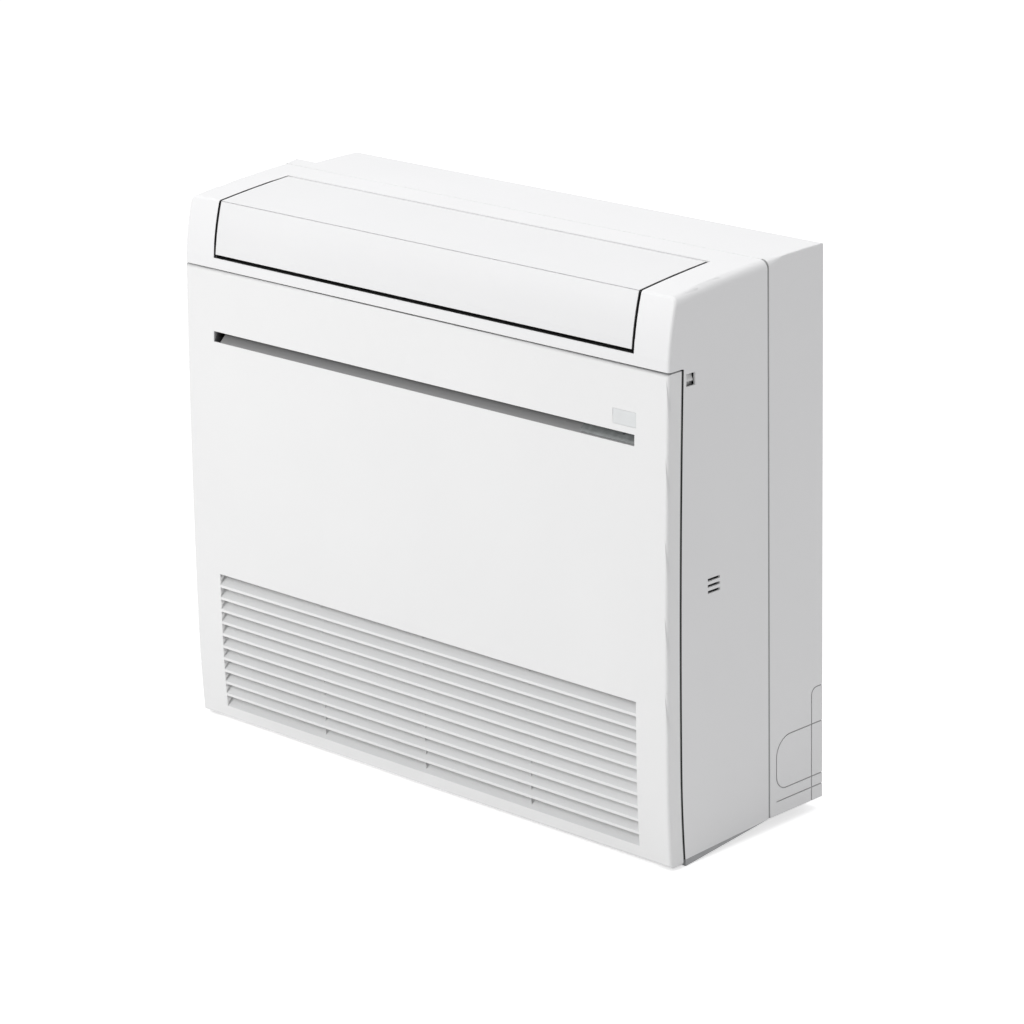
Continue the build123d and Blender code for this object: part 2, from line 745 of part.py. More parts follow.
with BuildPart() as outlet_duct:
    for x, cut in (
        ((-cheek_x, -cheek_inner), None),
        ((cheek_inner, cheek_x), (-height, ledge)),
        (fan_wall, (ledge + wall, 2 * height)),
    ):
        with BuildSketch(Plane.YZ.offset(x[0])):
            add(cheek_outline.sketch_local)
            if cut:
                with Locations((0, (cut[0] + cut[1]) / 2)):
                    Rectangle(2 * depth, cut[1] - cut[0], mode=Mode.SUBTRACT)
        extrude(amount=x[1] - x[0])
    # Scroll round the rotor and up to the top
    with BuildSketch(Plane.YZ.offset(-cheek_x)):
        with BuildLine():
            for sheet_side, end in ((0, scroll_end), (wall, (scroll_end[0] + 1.1, scroll_end[1] + 2.2))):
                spiral = [
                    polar(fan_centre, fan_radius + grow + sheet_side, angle)
                    for grow, angle in ((6, -110), (14, -30), (30, 30))
                ]
                upright = (spiral[2][0], 470)
                ThreePointArc(*spiral)
                Line(spiral[2], upright)
                ThreePointArc(upright, (76 + sheet_side * 0.75, 548 + sheet_side * 0.65), end)
                if sheet_side:
                    Line(end, scroll_end)
                    Line(spiral[0], polar(fan_centre, fan_radius + 6, -110))
        make_face()
    extrude(amount=2 * cheek_x)
    block((fan_wall[1], cheek_x + 1), (-20, back), (0, ledge), Mode.SUBTRACT)
    # Step over the motor, and ribs that stand against the back of the case
    block((fan_wall[0], cheek_x), (over(27, 0)[0] - 2, 96), (ledge, ledge + wall))
    for place in (-250.0, -60.0, 130.0):
        with BuildSketch(Plane.YZ.offset(place)):
            Polygon(
                (96.5, 440), (back - wall - fit, 455), (back - wall - fit, 488), (92, 500), (96.5, 475), align=None
            )
        extrude(amount=wall / 2, both=True)
    for way in (-1, 1):
        # Rails that the stabiliser rests on
        with BuildSketch(Plane.YZ.offset(way * cheek_inner)):
            Polygon(
                over(32, -2.8), over(plate_length - 2, -2.8), over(plate_length - 2, -5), over(32, -5), align=None
            )
        extrude(amount=-way * 6)
        # Lug for the casing's upper screw
        web = sorted((way * cheek_inner, way * cheek_x))
        block(web, (frame_y + wall + fit, over(100, 0)[0] + 12), (lug_z - 9, lug_z + 9))
        reach = sorted((way * cheek_inner, way * (side - wall - fit)))
        block(reach, (frame_y + wall + fit, frame_y + wall + fit + 7), (lug_z - 9, lug_z + 9))
    rod((-cheek_x - 1, -cheek_inner + 1), fan_centre, shaft_hole, Mode.SUBTRACT)
    rod((fan_wall[0] - 1, fan_wall[1] + 1), fan_centre, shaft_hole, Mode.SUBTRACT)
    for pivot in vane_pivots.values():
        rod((-side, side), pivot, vane_pin + run, Mode.SUBTRACT)
    with Locations(*[(way * screw_x, frame_y + wall + 5, lug_z) for way in (-1, 1)]):
        Cylinder(screw_radius + screw_clear, 12, rotation=(90, 0, 0), mode=Mode.SUBTRACT)
    outlet_duct.part.label = "outlet_duct"
export_step(outlet_duct.part, "parts/outlet_duct.step")

# ---------------------------------------------------------------- louvre blades
blade_t = 55.0  # pivot line of the blades along the stabiliser
blade_chord = (33.0, 77.0)
blade_rise = (3.0, 74.0)
blade_thick = 1.8
blade_pin = 2.0
link_t = blade_t - 16.0
link_pin = 1.5
link_rise = (blade_rise[1] + 0.6, blade_rise[1] + 2.6)
blade_pitch = 58.0
blade_places = [(n - 4.5) * blade_pitch for n in range(10)]
boss_deep = 8.0
louvre_body = 11.0

louvre_plane = Plane(
    origin=(0, *over(blade_t, 0)), x_dir=(1, 0, 0), z_dir=(0, along[1], -along[0])
)

with BuildPart() as stabiliser:
    with BuildSketch(Plane.YZ.offset(-cheek_inner + fit)):
        Polygon(over(0, 0), over(plate_length, 0), over(plate_length, -wall), over(0, -wall), align=None)
        with Locations(over(0.5, -wall / 2)):
            Circle(3.0)
    extrude(amount=2 * (cheek_inner - fit))
    block((fan_wall[0] - fit, cheek_x), (front, back), (0, ledge + wall + fit), Mode.SUBTRACT)
    with BuildSketch(louvre_plane):
        with Locations(*[(place, 0) for place in blade_places]):
            RegularPolygon(blade_pin + 2.2, 8)
    extrude(amount=-boss_deep)
    with BuildSketch(louvre_plane.offset(1)):
        with Locations(*[(place, 0) for place in blade_places]):
            Circle(blade_pin + run)
    extrude(amount=-boss_deep - 2, mode=Mode.SUBTRACT)
    stabiliser.part.label = "stabiliser"
export_step(stabiliser.part, "parts/stabiliser.step")

driven = {0: "left", 9: "right"}
for number, place in enumerate(blade_places):
    with BuildPart() as louvre_blade:
        with BuildSketch(Plane.YZ.offset(place - blade_thick / 2)):
            Polygon(
                over(blade_chord[0] + 4, blade_rise[0]),
                over(blade_chord[1], blade_rise[0]),
                over(blade_chord[1], blade_rise[1] - 14),
                over(blade_chord[1] - 12, blade_rise[1]),
                over(blade_chord[0], blade_rise[1]),
                over(blade_chord[0], blade_rise[0] + 8),
                align=None,
            )
        extrude(amount=blade_thick)
        with BuildSketch(louvre_plane.offset(0.4)):
            with Locations((place, 0)):
                RegularPolygon(blade_pin + 1.6, 6)
        extrude(amount=blade_rise[0] + 4)
        deep = boss_deep + 7 if number in driven else boss_deep - 1
        with BuildSketch(louvre_plane.offset(0.5)):
            with Locations((place, 0)):
                Circle(blade_pin)
        extrude(amount=-deep)
        with BuildSketch(louvre_plane.offset(blade_rise[1] - 2)):
            with Locations((place, blade_t - link_t)):
                Circle(link_pin)
        extrude(amount=link_rise[1] - blade_rise[1] + 3)
        louvre_blade.part.label = f"louvre_blade_{number + 1}"
    export_step(louvre_blade.part, f"parts/louvre_blade_{number + 1}.step")

for name, places in (("left", blade_places[:5]), ("right", blade_places[5:])):
    with BuildPart() as link_bar:
        with BuildSketch(louvre_plane.offset(link_rise[0])):
            with Locations(((places[0] + places[-1]) / 2, blade_t - link_t)):
                Rectangle(places[-1] - places[0] + 8, 6)
            with Locations(*[(place, blade_t - link_t) for place in places]):
                Circle(link_pin + run, mode=Mode.SUBTRACT)
        extrude(amount=link_rise[1] - link_rise[0])
        link_bar.part.label = f"link_bar_{name}"
    export_step(link_bar.part, f"parts/link_bar_{name}.step")

# Geared steppers under the stabiliser turn the outermost blades
for number, name in driven.items():
    with BuildPart() as louvre_motor:
        with BuildSketch(louvre_plane.offset(-boss_deep - fit)):
            with Locations((blade_places[number], -6.0)):
                Circle(louvre_body)
            with Locations((blade_places[number], 0)):
                Circle(blade_pin + run, mode=Mode.SUBTRACT)
        extrude(amount=-14)
        with BuildSketch(louvre_plane.offset(-boss_deep - fit)):
            with Locations((blade_places[number], -6.0)):
                Rectangle(34, 7)
                with GridLocations(27, 0, 2, 1):
                    Circle(1.7, mode=Mode.SUBTRACT)
            with Locations((blade_places[number], 0)):
                Circle(blade_pin + run, mode=Mode.SUBTRACT)
        extrude(amount=-1.2)
        louvre_motor.part.label = f"louvre_motor_{name}"
    export_step(louvre_motor.part, f"parts/louvre_motor_{name}.step")


# ---------------------------------------------------------------- vanes
vane_thick = 3.0
vane_gap = 4.0  # shadow line under the front vane
top_gap = 2.8  # behind the top vane
crease_split = (0.677, -0.736)  # direction of the joint between the vanes, from the crease inwards
split_across = (crease_split[1], -crease_split[0])
split_half = 0.35
motor_body = 10.0
motor_offset = 7.6
motor_x = (cheek_x + fit + 0.7, cheek_x + 19.0)
left_pin_end = -cheek_x - 2.0

with BuildSketch(Plane.YZ) as vane_skin:
    add(body_outline.sketch_local)
    offset(body_outline.sketch_local, amount=-vane_thick, kind=Kind.INTERSECTION, mode=Mode.SUBTRACT)


def split_point(reach, way):
    """Point on the joint between the vanes: reach inwards, way -1 on the front and 1 on the top."""
    return (
        crease[0] + reach * crease_split[0] - way * split_half * split_across[0],
        crease[1] + reach * crease_split[1] - way * split_half * split_across[1],
    )


def vane_clip(name):
    """Outline that cuts one outer vane from the skin."""
    if name == "front":
        return (
            (front, mouth_low + vane_gap),
            (front, height),
            split_point(-6, -1),
            split_point(8, -1),
            (front_pivot[0] + 14, front_pivot[1]),
            (front_pivot[0] + 14, mouth_low + vane_gap),
        )
    return (
        split_point(-6, 1),
        (crease[0], height + 9),
        (crown_y - top_gap, height + 9),
        (crown_y - top_gap, top_pivot[1]),
        (top_pivot[0], top_pivot[1] - vane_beads["top"]),
        split_point(8, 1),
    )


for name, pivot in (("front", front_pivot), ("top", top_pivot)):
    with BuildPart() as vane:
        with BuildSketch(Plane.YZ.offset(-vane_half)):
            add(vane_skin.sketch_local)
            Polygon(*vane_clip(name), align=None, mode=Mode.INTERSECT)
            with Locations(pivot):
                Circle(vane_beads[name])
        extrude(amount=2 * vane_half)
        rod((left_pin_end, motor_x[0] + 9), pivot, vane_pin)
        vane.part.label = f"{name}_vane"
    export_step(vane.part, f"parts/{name}_vane.step")

inner_chord = 50.0
with BuildPart() as inner_vane:
    with BuildSketch(Plane.YZ.offset(-vane_half)):
        with Locations(Location((inner_pivot[0], inner_pivot[1], 0), (0, 0, 135))):
            Polygon(
                (-inner_chord / 2, -0.6), (-inner_chord / 4, -2.2), (inner_chord / 4, -2.2),
                (inner_chord / 2, -0.6), (inner_chord / 2, 0.6), (inner_chord / 4, 2.2),
                (-inner_chord / 4, 2.2), (-inner_chord / 2, 0.6), align=None,
            )
            RegularPolygon(3.6, 8)
    extrude(amount=2 * vane_half)
    rod((left_pin_end, motor_x[0] + 9), inner_pivot, vane_pin)
    inner_vane.part.label = "inner_vane"
export_step(inner_vane.part, "parts/inner_vane.step")

# Steppers outside the right cheek; each body hangs off its shaft, away from the skin
motor_ways = {"front": (1.0, 0.0), "top": (0.0, -1.0), "inner": (0.7071, -0.7071)}
for name, pivot in vane_pivots.items():
    way = motor_ways[name]
    middle = (pivot[0] + motor_offset * way[0], pivot[1] + motor_offset * way[1])
    with BuildPart() as vane_motor:
        rod(motor_x, middle, motor_body)
        with BuildSketch(Plane.YZ.offset(motor_x[0])):
            with Locations(Location((middle[0], middle[1], 0), (0, 0, 90 if name == "front" else 0))):
                Rectangle(29, 5.4)
                with GridLocations(24.5, 0, 2, 1):
                    Circle(1.1, mode=Mode.SUBTRACT)
        extrude(amount=1.0)
        socket = (middle[0] + 9 * way[0], middle[1] + 9 * way[1])
        block(
            (motor_x[0] + 3, motor_x[1] - 2), (socket[0] - 4, socket[0] + 4), (socket[1] - 4, socket[1] + 4)
        )
        rod((motor_x[0] - 1, motor_x[0] + 10), pivot, vane_pin + run, Mode.SUBTRACT)
        vane_motor.part.label = f"{name}_vane_motor"
    export_step(vane_motor.part, f"parts/{name}_vane_motor.step")


# ---------------------------------------------------------------- fan
blades = 27
disc_thick = 2.5
discs = 5
rotor_inner = 34.0
rotor_belly = 39.5
rotor_tip = fan_radius - 0.8
shaft_radius = 4.0
hub_radius = 10.0
hub_long = 16.0
shaft_end = 295.0
bearing_radius = 10.5
bearing_x = (-cheek_x - 11.0, -cheek_x - 1.2)

with BuildPart() as fan_rotor:
    with BuildSketch(Plane.YZ.offset(fan_left)):
        for n in range(blades):
            turn = n * 360 / blades
            Polygon(
                polar(fan_centre, rotor_inner, turn),
                polar(fan_centre, rotor_belly, turn + 8),
                polar(fan_centre, rotor_tip, turn + 11),
                polar(fan_centre, rotor_tip, turn + 12.2),
                polar(fan_centre, rotor_belly, turn + 10),
                polar(fan_centre, rotor_inner, turn + 1.6),
                align=None,
            )
    extrude(amount=fan_right - fan_left)
    for n in range(discs):
        start = fan_left + n * (fan_right - fan_left - disc_thick) / (discs - 1)
        with BuildSketch(Plane.YZ.offset(start)):
            with Locations(fan_centre):
                RegularPolygon(fan_radius, blades)
                if 0 < n < discs - 1:
                    RegularPolygon(rotor_inner - 3, blades, mode=Mode.SUBTRACT)
        extrude(amount=disc_thick)
    rod((fan_right - hub_long, fan_right), fan_centre, hub_radius)
    rod((fan_right - hub_long - 1, fan_right + 1), fan_centre, shaft_radius + 0.02, Mode.SUBTRACT)
    rod((bearing_x[0] + 0.5, fan_left + 1), fan_centre, shaft_radius)
    fan_rotor.part.label = "fan_rotor"
export_step(fan_rotor.part, "parts/fan_rotor.step")

with BuildPart() as motor_shaft:
    rod((fan_right - hub_long, shaft_end), fan_centre, shaft_radius)
    motor_shaft.part.label = "motor_shaft"
export_step(motor_shaft.part, "parts/motor_shaft.step")

motor_radius = 40.0
motor_span = (246.0, 294.0)
cap_radius = 33.0
with BuildPart() as fan_motor:
    rod(motor_span, fan_centre, motor_radius)
    chamfer(fan_motor.edges().filter_by(GeomType.CIRCLE), 3)
    rod((motor_span[0] - 4, motor_span[1] + 4), fan_centre, cap_radius)
    rod((motor_span[0] - 7, motor_span[1]), fan_centre, 12)
    rod((0, shaft_end + 0.5), fan_centre, shaft_radius + run, Mode.SUBTRACT)
    fan_motor.part.label = "fan_motor"
export_step(fan_motor.part, "parts/fan_motor.step")

bracket_x = (258.0, 282.0)
bracket_high = ledge - 1.5
with BuildPart() as motor_bracket:
    with BuildSketch(Plane.YZ.offset(bracket_x[0])):
        Polygon(
            (fan_centre[0], fan_centre[1] - motor_radius - 10),
            (back - wall - fit, fan_centre[1] - motor_radius - 30),
            (back - wall - fit, bracket_high),
            (fan_centre[0], bracket_high),
            align=None,
        )
        with Locations(fan_centre):
            Circle(motor_radius + fit, mode=Mode.SUBTRACT)
        with Locations((95, 345), (95, 400)):
            Circle(9, mode=Mode.SUBTRACT)
    extrude(amount=bracket_x[1] - bracket_x[0])
    motor_bracket.part.label = "motor_bracket"
export_step(motor_bracket.part, "parts/motor_bracket.step")

with BuildPart() as motor_clamp:
    with BuildSketch(Plane.YZ.offset(bracket_x[0])):
        with Locations(fan_centre):
            Circle(motor_radius + fit + 2)
        with Locations((fan_centre[0] - fit, fan_centre[1] - motor_radius - 10)):
            Rectangle(3, 10, align=(Align.MAX, Align.MIN))
        with Locations(fan_centre):
            Circle(motor_radius + fit, mode=Mode.SUBTRACT)
        with Locations((fan_centre[0] - fit, fan_centre[1])):
            Rectangle(depth, depth, align=(Align.MIN, Align.CENTER), mode=Mode.SUBTRACT)
    extrude(amount=bracket_x[1] - bracket_x[0])
    motor_clamp.part.label = "motor_clamp"
export_step(motor_clamp.part, "parts/motor_clamp.step")

with BuildPart() as bearing_holder:
    rod((bearing_x[0] - 1.2, -cheek_x - fit), fan_centre, bearing_radius + 4)
    block((bearing_x[0] - 1.2, -cheek_x - fit), (fan_centre[0] - 26, fan_centre[0]), (377, 393))
    rod((bearing_x[0], 0), fan_centre, bearing_radius + 0.02, Mode.SUBTRACT)
    bearing_holder.part.label = "bearing_holder"
export_step(bearing_holder.part, "parts/bearing_holder.step")

with BuildPart() as fan_bearing:
    rod(bearing_x, fan_centre, bearing_radius)
    rod((bearing_x[0] - 1, bearing_x[1] + 1), fan_centre, shaft_radius + run, Mode.SUBTRACT)
    fan_bearing.part.label = "fan_bearing"
export_step(fan_bearing.part, "parts/fan_bearing.step")


# ---------------------------------------------------------------- heat exchanger
coil_foot = (-20.0, 90.0)
coil_head = (-52.0, 415.0)
coil_half = 14.0
coil_x = (-294.0, 231.0)
fins = 48
fin_groove = 1.5
coil_length = sqrt((coil_head[0] - coil_foot[0]) ** 2 + (coil_head[1] - coil_foot[1]) ** 2)
coil_way = ((coil_head[0] - coil_foot[0]) / coil_length, (coil_head[1] - coil_foot[1]) / coil_length)
tube_radius = 3.5
tube_pitch = 21.0
tube_rows = 15
pan_sheet = 2.5
pan_y = (-64.0, 20.0)
pan_x = (-306.0, 250.0)
pan_high = 84.0
end_sheet = 1.2
end_gap = 0.3


def coil_point(reach, across=0.0):
    """Point in the YZ plane on the coil's middle line, reach up from its foot and across to the back."""
    return (
        coil_foot[0] + reach * coil_way[0] + across * coil_way[1],
        coil_foot[1] + reach * coil_way[1] - across * coil_way[0],
    )


fin_pitch = (coil_x[1] - coil_x[0]) / fins
fin_steps = [coil_x[0] + n * fin_pitch for n in range(fins + 1)]
comb = []
for start, end in zip(fin_steps, fin_steps[1:]):
    notch = start + fin_pitch * 0.7
    comb += [(start, coil_half), (notch, coil_half), (notch, coil_half - fin_groove), (end, coil_half - fin_groove)]
comb_back = [(x, -y) for x, y in reversed(comb)]

with BuildPart() as heat_exchanger:
    with BuildSketch(Plane(origin=(0, *coil_foot), x_dir=(1, 0, 0), z_dir=(0, *coil_way))):
        Polygon(*comb, *comb_back, align=None)
    extrude(amount=coil_length)
    heat_exchanger.part.label = "heat_exchanger"
export_step(heat_exchanger.part, "parts/heat_exchanger.step")

tube_reaches = [coil_length / 2 + (n - (tube_rows - 1) / 2) * tube_pitch for n in range(tube_rows)]
for name, x in (("left", coil_x[0] - end_gap - end_sheet), ("right", coil_x[1] + end_gap)):
    with BuildPart() as coil_end_plate:
        with BuildSketch(Plane.YZ.offset(x)):
            Polygon(
                (coil_foot[0] - coil_half - 2, pan_floor + fit + pan_sheet + fit),
                coil_point(6, -coil_half - 2),
                coil_point(coil_length, -coil_half - 2),
                coil_point(coil_length, coil_half + 2),
                coil_point(190, coil_half + 2),
                (back - wall - fit, 296),
                (back - wall - fit, 240),
                coil_point(120, coil_half + 2),
                coil_point(6, coil_half + 2),
                (coil_foot[0] + coil_half + 2, pan_floor + fit + pan_sheet + fit),
                align=None,
            )
            with Locations(*[coil_point(reach) for reach in tube_reaches]):
                RegularPolygon(tube_radius + fit, 8, major_radius=False, mode=Mode.SUBTRACT)
        extrude(amount=end_sheet)
        coil_end_plate.part.label = f"coil_end_plate_{name}"
    export_step(coil_end_plate.part, f"parts/coil_end_plate_{name}.step")

# Return bends on both ends; the two pipes join rows that the bends leave free
gas_row = 2
liquid_row = 4
bend_half = tube_pitch / 2
with BuildPart() as coil_bends:
    for way, x in ((-1, coil_x[0]), (1, coil_x[1])):
        start = x + way * 0.2
        straight = end_gap + end_sheet + 1.5
        for low in range(0 if way < 0 else 1, tube_rows - 1, 2):
            if way > 0 and (low in (gas_row - 1, liquid_row - 1)):
                continue
            ends = [coil_point(tube_reaches[low + n]) for n in (0, 1)]
            inner, outer = start + way * straight, start + way * (straight + bend_half)
            shoulders = [coil_point(tube_reaches[low] + bend_half * share) for share in (0.5, 1.5)]
            with BuildLine() as bend:
                Polyline(
                    (start, *ends[0]), (inner + way * bend_half * 0.4, *ends[0]), (outer, *shoulders[0]),
                    (outer, *shoulders[1]), (inner + way * bend_half * 0.4, *ends[1]), (start, *ends[1]),
                )
            with BuildSketch(Plane.YZ.offset(start)):
                with Locations(ends[0]):
                    RegularPolygon(tube_radius, 8)
            sweep(path=bend.line, transition=Transition.RIGHT)
    coil_bends.part.label = "coil_bends"
export_step(coil_bends.part, "parts/coil_bends.step")

# Connecting pipes: from the coil's right end down to the knock-out, with flare nuts on their ends
pipe_x = 259.0
nut_x = 300.0
gas_radius = 4.76
liquid_radius = 3.175
gas_end = (76.0, 66.0)
liquid_end = (102.0, 66.0)
pipe_bend = 14.0
pipes = {
    "gas": (gas_radius, gas_row, gas_end, 11.0),
    "liquid": (liquid_radius, liquid_row, liquid_end, 8.5),
}
for name, (radius, row, end, nut) in pipes.items():
    start = coil_point(tube_reaches[row])
    with BuildPart() as pipe:
        first = coil_x[1] + end_gap + end_sheet + 0.3
        with BuildLine() as course:
            Polyline(
                (first, *start),
                (pipe_x - pipe_bend, *start),
                (pipe_x, start[0] + pipe_bend, start[1]),
                (pipe_x, end[0] - pipe_bend, start[1]),
                (pipe_x, end[0], start[1] - pipe_bend),
                (pipe_x, end[0], end[1] + pipe_bend),
                (pipe_x + pipe_bend, *end),
                (nut_x + 10, *end),
            )
        with BuildSketch(Plane.YZ.offset(first)):
            with Locations(start):
                RegularPolygon(radius, 8)
        sweep(path=course.line, transition=Transition.RIGHT)
        pipe.part.label = f"{name}_pipe"
    export_step(pipe.part, f"parts/{name}_pipe.step")
    with BuildPart() as flare_nut:
        with BuildSketch(Plane.YZ.offset(nut_x)):
            with Locations(end):
                RegularPolygon(nut, 6, major_radius=False)
        extrude(amount=16)
        rod((nut_x + 16, nut_x + 22), end, nut - 1)
        rod((nut_x - 1, nut_x + 11), end, radius + 0.05, Mode.SUBTRACT)
        rod((nut_x + 10.2, nut_x + 23), end, nut - 3, Mode.SUBTRACT)
        flare_nut.part.label = f"{name}_flare_nut"
    export_step(flare_nut.part, f"parts/{name}_flare_nut.step")

with BuildPart() as drain_pan:
    block(pan_x, pan_y, (pan_floor + fit, pan_high))
    fillet(drain_pan.edges().filter_by(Axis.Z), 6)
    block(
        (pan_x[0] + pan_sheet, pan_x[1] - pan_sheet),
        (pan_y[0] + pan_sheet, pan_y[1] - pan_sheet),
        (pan_floor + fit + pan_sheet, pan_high + 1),
        Mode.SUBTRACT,
    )
    hose_start = (4.0, pan_floor + fit + 9.0)
    rod((pan_x[1] - 1, pan_x[1] + 14), hose_start, 5.7)
    rod((pan_x[1] - 5, pan_x[1] + 15), hose_start, 4.2, Mode.SUBTRACT)
    drain_pan.part.label = "drain_pan"
export_step(drain_pan.part, "parts/drain_pan.step")

hose_radius = 8.2
hose_bore = 6.3
hose_turn = 290.0
hose_end = (56.0, 44.0)
hose_bend = 12.0
with BuildPart() as drain_hose:
    with BuildLine() as hose_course:
        Polyline(
            (pan_x[1] + 1, *hose_start),
            (hose_turn - hose_bend, *hose_start),
            (hose_turn, hose_start[0] + hose_bend, hose_start[1]),
            (hose_turn, hose_end[0] - hose_bend, hose_end[1]),
            (hose_turn + hose_bend, *hose_end),
            (334, *hose_end),
        )
    with BuildSketch(Plane.YZ.offset(pan_x[1] + 1)):
        with Locations(hose_start):
            RegularPolygon(hose_radius, 8)
            RegularPolygon(hose_bore, 8, mode=Mode.SUBTRACT)
    sweep(path=hose_course.line, transition=Transition.RIGHT)
    drain_hose.part.label = "drain_hose"
export_step(drain_hose.part, "parts/drain_hose.step")


# ---------------------------------------------------------------- filters
filter_x = (-306.0, 238.0)
filter_z = (52.0, 428.0)
filter_y = (-92.0, -72.0)
filter_rim = 8.0
filter_thick = 4.0
leg_places = (-206.0, 150.0)
filter_mid = (filter_x[0] + filter_x[1]) / 2

with BuildPart() as filter_frame:
    block(filter_x, filter_y, filter_z)
    for low, high in ((filter_x[0], filter_mid), (filter_mid, filter_x[1])):
        block(
            (low + filter_rim, high - filter_rim),
            (filter_y[0] - 1, filter_y[1] + 1),
            (filter_z[0] + filter_rim, filter_z[1] - filter_rim),
            Mode.SUBTRACT,
        )
        block(
            (low + 3, high - 3),
            (filter_y[0] - 1, filter_y[0] + filter_thick),
            (filter_z[0] + 3, filter_z[1] + 1),
            Mode.SUBTRACT,
        )
        for n in (1, 2):
            z = filter_z[0] + n * (filter_z[1] - filter_z[0]) / 3
            block((low + 3, high - 3), (filter_y[1] - 6, filter_y[1]), (z - 1.5, z + 1.5))
            # Tabs in front of the filter's side edges
            for x in (low, high - 8):
                block((x, x + 8), (filter_y[0] - 0.9, filter_y[0] + 0.3), (z - 9, z + 9))
    for place in leg_places:
        leg_low = hem(filter_y[0] + 10) + fit
        block((place - 12, place + 12), (filter_y[0], filter_y[0] + 10), (leg_low, filter_z[0] + 1))
    filter_frame.part.label = "filter_frame"
export_step(filter_frame.part, "parts/filter_frame.step")

for name, (low, high) in (("left", (filter_x[0], filter_mid)), ("right", (filter_mid, filter_x[1]))):
    with BuildPart() as air_filter:
        x = (low + 3 + fit, high - 3 - fit)
        z = (filter_z[0] + 3 + fit, filter_z[1] + 4)
        y = (filter_y[0] + 0.6, filter_y[0] + filter_thick - fit)
        with BuildSketch(Plane.XZ.offset(-y[0])):
            with Locations(((x[0] + x[1]) / 2, (z[0] + z[1]) / 2)):
                RectangleRounded(x[1] - x[0], z[1] - z[0], 5)
                with GridLocations((x[1] - x[0] - 10) / 4, (z[1] - z[0] - 10) / 6, 4, 6):
                    Rectangle((x[1] - x[0] - 10) / 4 - 2, (z[1] - z[0] - 10) / 6 - 2, mode=Mode.SUBTRACT)
        extrude(amount=-(y[1] - y[0]))
        # Finger tab on the upper edge
        block(((x[0] + x[1]) / 2 - 18, (x[0] + x[1]) / 2 + 18), (y[0], y[1]), (z[1] - 2, z[1] + 9))
        # Fine mesh behind the ribs
        block((x[0] + 4, x[1] - 4), (y[1] - 0.5, y[1]), (z[0] + 4, z[1] - 4))
        air_filter.part.label = f"air_filter_{name}"
    export_step(air_filter.part, f"parts/air_filter_{name}.step")


# ---------------------------------------------------------------- electrical box
box_x = (268.0, 334.0)
box_y = (-84.0, -14.0)
box_z = (62.0, 332.0)
box_wall = 1.6
board_y = -22.0
board_thick = 1.6
button_place = (300.0, 300.0)
button_radius = 5.0

with BuildPart() as electrical_box:
    block(box_x, box_y, box_z)
    fillet(electrical_box.edges().filter_by(Axis.Y), 3)
    block(
        (box_x[0] + box_wall, box_x[1] - box_wall),
        (box_y[0] - 1, box_y[1] - box_wall),
        (box_z[0] + box_wall, box_z[1] - box_wall),
        Mode.SUBTRACT,
    )
    for x in (box_x[0] + 7, box_x[1] - 7):
        for z in (118.0, 320.0):
            with Locations((x, (board_y + board_thick + box_y[1]) / 2, z)):
                Cylinder(3, box_y[1] - board_y - board_thick - fit, rotation=(90, 0, 0))
        block((x - 3, x + 3), (-60, -30), (shelf_z + fit, box_z[0] + 1))
        block((x - 5, x + 5), (-66, -24), (shelf_z + fit, shelf_z + fit + 2))
    block((box_x[1] - 12, box_x[1] + 1), (-40, -28), (box_z[0] - 1, box_z[0] + 12), Mode.SUBTRACT)
    electrical_box.part.label = "electrical_box"
export_step(electrical_box.part, "parts/electrical_box.step")

cover_front = box_y[0] - 2.3
with BuildPart() as electrical_cover:
    with BuildSketch(Plane.XZ.offset(-cover_front)):
        with Locations(((box_x[0] + box_x[1]) / 2, (box_z[0] + box_z[1]) / 2)):
            RectangleRounded(box_x[1] - box_x[0], box_z[1] - box_z[0], 3)
    extrude(amount=-2)
    with BuildSketch(Plane.XZ.offset(-cover_front)):
        with Locations(button_place):
            Circle(button_radius + 3)
    extrude(amount=1)
    with BuildSketch(Plane.XZ.offset(-cover_front + 2)):
        with Locations(button_place):
            Circle(button_radius + 0.1)
    extrude(amount=-6, mode=Mode.SUBTRACT)
    with BuildSketch(Plane.XZ.offset(-cover_front)):
        with Locations(((box_x[0] + box_x[1]) / 2, 190)):
            with GridLocations(0, 9, 1, 7):
                Rectangle(40, 3)
    extrude(amount=-0.8, mode=Mode.SUBTRACT)
    electrical_cover.part.label = "electrical_cover"
export_step(electrical_cover.part, "parts/electrical_cover.step")

with BuildPart() as push_button:
    with Locations((button_place[0], cover_front - 0.5, button_place[1])):
        Cylinder(button_radius, 8, rotation=(90, 0, 0))
    chamfer(push_button.edges().filter_by(GeomType.CIRCLE).sort_by(Axis.Y)[0], 0.6)
    with Locations((button_place[0], cover_front + 3.7, button_place[1])):
        Cylinder(button_radius + 1.6, 3, rotation=(90, 0, 0))
    with Locations((button_place[0], cover_front + 10.2, button_place[1])):
        Cylinder(2, 12, rotation=(90, 0, 0))
    push_button.part.label = "push_button"
export_step(push_button.part, "parts/push_button.step")

